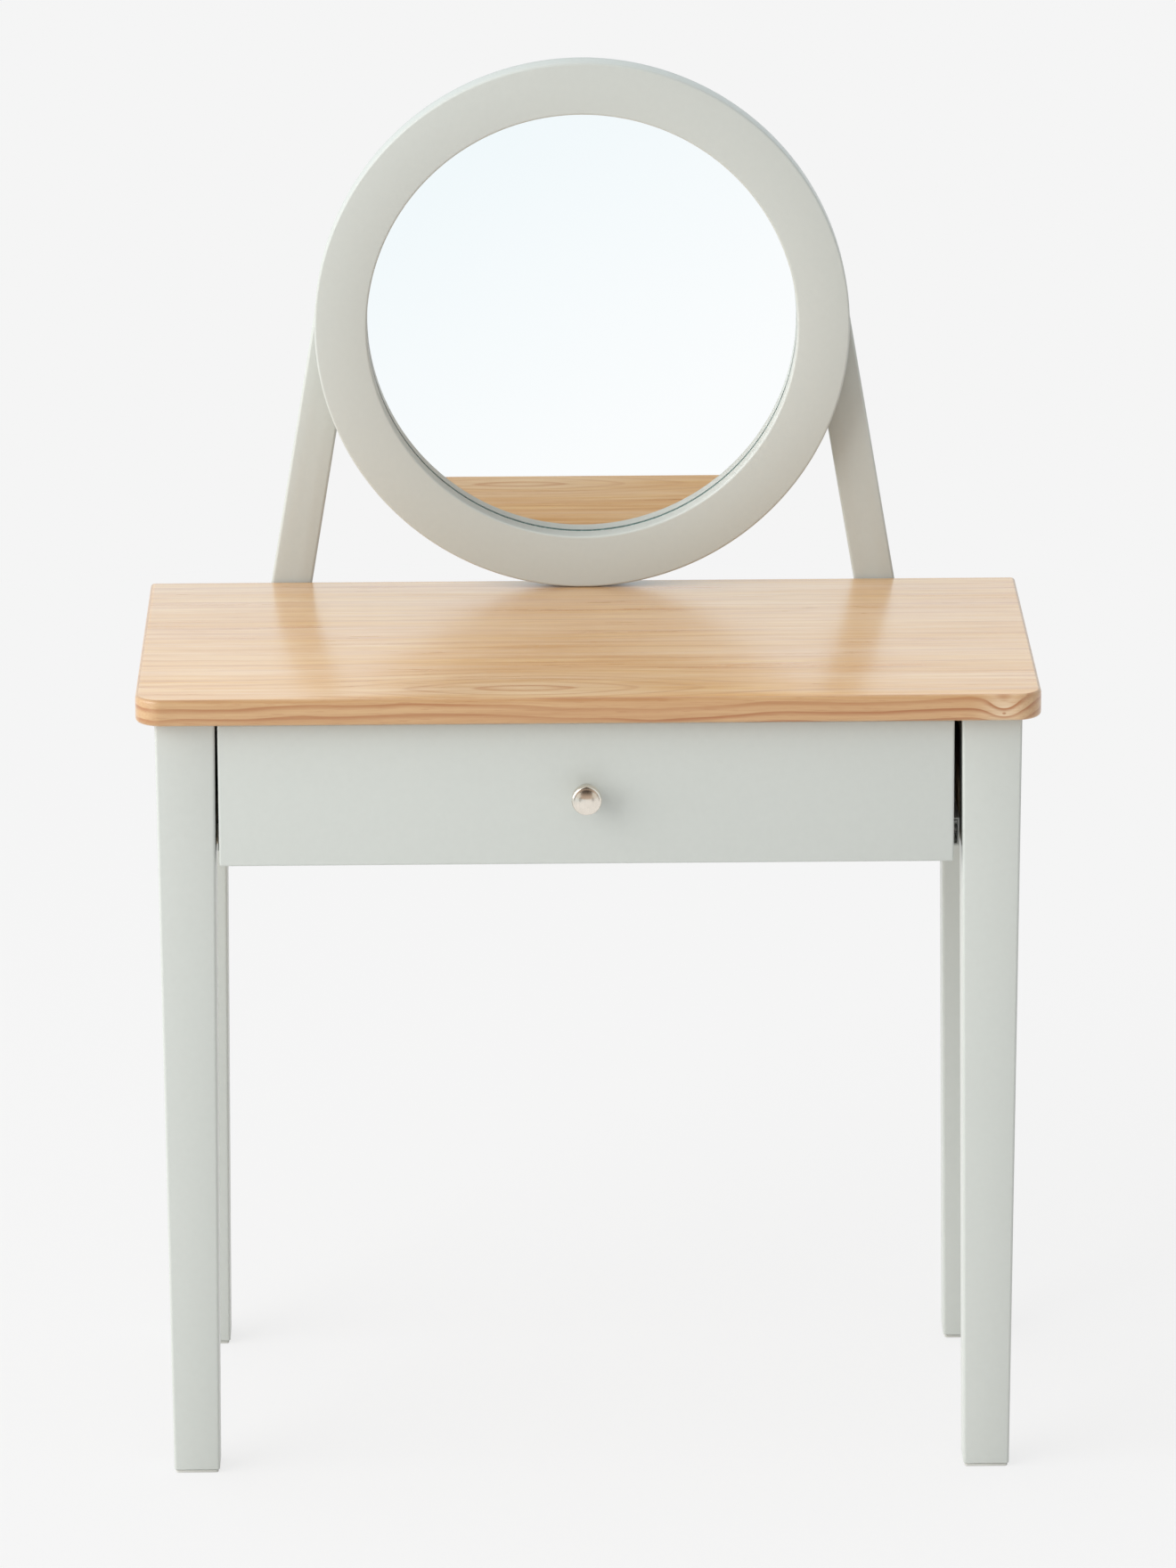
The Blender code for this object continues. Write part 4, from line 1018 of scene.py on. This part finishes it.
def room_look(n, axes):
    """What a gloss sees of the room in a direction."""
    slope = sideways_slope(n, axes)
    look = n.mix(n.remap(slope, *ROOM_SLOPE, 1.0, 0.0, smooth=True), BACK_WHITE, ROOM_GREY)
    unlit = n.mix(n.remap(axes.outputs["Z"], *HORIZON_HEIGHT, smooth=True), HORIZON_BROWN, UNLIT_BROWN)
    return n.mix(n.remap(slope, *UNLIT_SLOPE, 1.0, 0.0, smooth=True), look, unlit)


def painted_upright_share(n, axes, ahead):
    """Painted reflection: dark uprights at the sides of the unlit strip, painted on the floor where their
    feet would stand.
    """
    slope, (inner, crest, outer) = sideways_slope(n, axes), PAINTED_UPRIGHT_SLOPE
    share = n.math("MULTIPLY", n.remap(slope, inner, crest), n.remap(slope, crest, outer, 1.0, 0.0))
    return n.math("MULTIPLY", share, n.remap(ahead, *PAINTED_UPRIGHT_REACH, smooth=True))


def floor_look(f, point, camera):
    """The floor as the camera sees it, and as a gloss does: a painted reflection, tinted near the table, the
    room further off.
    """
    axes = f.node("ShaderNodeSeparateXYZ", [point])
    ahead = f.math("MULTIPLY", axes.outputs["Y"], -1.0)
    slanted = f.math("SUBTRACT", ahead, f.math("MULTIPLY", axes.outputs["X"], FLOOR_COOL_SLANT))
    near = f.mix(f.remap(slanted, *FLOOR_COOL_REACH), REFLECTED_FLOOR_WARM, REFLECTED_FLOOR_COOL)
    reflected = f.mix(f.remap(ahead, *FLOOR_ROOM_REACH, smooth=True), near, room_look(f, axes))
    # painted reflection: dark uprights on the floor, which only glosses see
    reflected = f.mix(painted_upright_share(f, axes, ahead), reflected, UNLIT_BROWN)
    return f.mix(camera, reflected, grey(BACKDROP_GREY))


def floor_paper():
    """Pale paper that looks even, takes the object's shadow and throws plain light back on the object."""
    f = Finish("floor_paper")
    f.tree.nodes.remove(f.shader)
    seen, camera = seen_directly(f)
    point = f.place()
    look = floor_look(f, point, camera)
    share = f.remap(f.vector("LENGTH", point), *SHADOW_REACH, SHADOW_SHARE, 0.0, smooth=True)
    glow = f.node("ShaderNodeEmission", [look, f.math("SUBTRACT", 1.0, share)])
    shaded = f.node("ShaderNodeBsdfDiffuse", [f.mix(f.math("DIVIDE", share, SHADOW_LIGHT), grey(0.0), look)])
    paper = f.node("ShaderNodeBsdfDiffuse", [grey(FLOOR_ALBEDO)])
    both = f.node("ShaderNodeAddShader", [glow.outputs[0], shaded.outputs[0]])
    mixed = f.node("ShaderNodeMixShader", [seen, paper.outputs[0], both.outputs[0]])
    f.put(mixed.outputs[0], f.tree.nodes["Material Output"].inputs["Surface"])
    return f.material


def make_floor():
    """The pale floor."""
    bm = bmesh.new()
    bmesh.ops.create_grid(bm, x_segments=1, y_segments=1, size=FLOOR_SIDE / 2)
    floor = add_object("floor", mesh_of("floor", bm))
    floor.data.materials.append(floor_paper())


def make_world():
    """The light from all round, brighter at the left and above, and the room that a gloss sees."""
    world = bpy.data.worlds.new("studio")
    world.use_nodes = True
    n = Nodes(world.node_tree)
    seen, camera = seen_directly(n)
    axes = n.node("ShaderNodeSeparateXYZ", [n.place("direction")])
    level = WORLD_LEVEL
    for axis, gain in (("X", -WORLD_LEFT_LEVEL), ("Z", WORLD_UP_LEVEL)):
        lobe = n.math("MAXIMUM", n.math("MULTIPLY", axes.outputs[axis], gain), 0.0)
        level = n.math("ADD", level, lobe)
    light = n.node("ShaderNodeCombineColor", grey(level)).outputs[0]
    shown = n.mix(camera, room_look(n, axes), grey(BACKDROP_GREY))
    n.put(n.mix(seen, light, shown), n.tree.nodes["Background"].inputs["Color"])
    bpy.context.scene.world = world


def make_lamp():
    """The wide soft lamp, which shines along its local -Z at its target."""
    data = bpy.data.lights.new("softbox", "AREA")
    data.shape = "SQUARE"
    data.size = LAMP_SIDE
    data.energy = LAMP_WATTS
    lamp = add_object("softbox", data)
    lamp.visible_camera = False
    aim = (Vector(LAMP_TARGET) - Vector(LAMP_PLACE)).to_track_quat("-Z", "Y")
    lamp.matrix_world = Matrix.Translation(LAMP_PLACE) @ aim.to_matrix().to_4x4()


make_camera()
FINISHES = make_finishes()
make_top()
make_legs()
make_aprons()
make_blocks()
make_drawer()
make_knob()
make_fasteners()
make_rails()
make_rollers()
make_ring()
make_glass()
make_backing()
make_posts()
make_clips()
make_floor()
make_world()
make_lamp()
bpy.context.scene.view_settings.view_transform = "Standard"
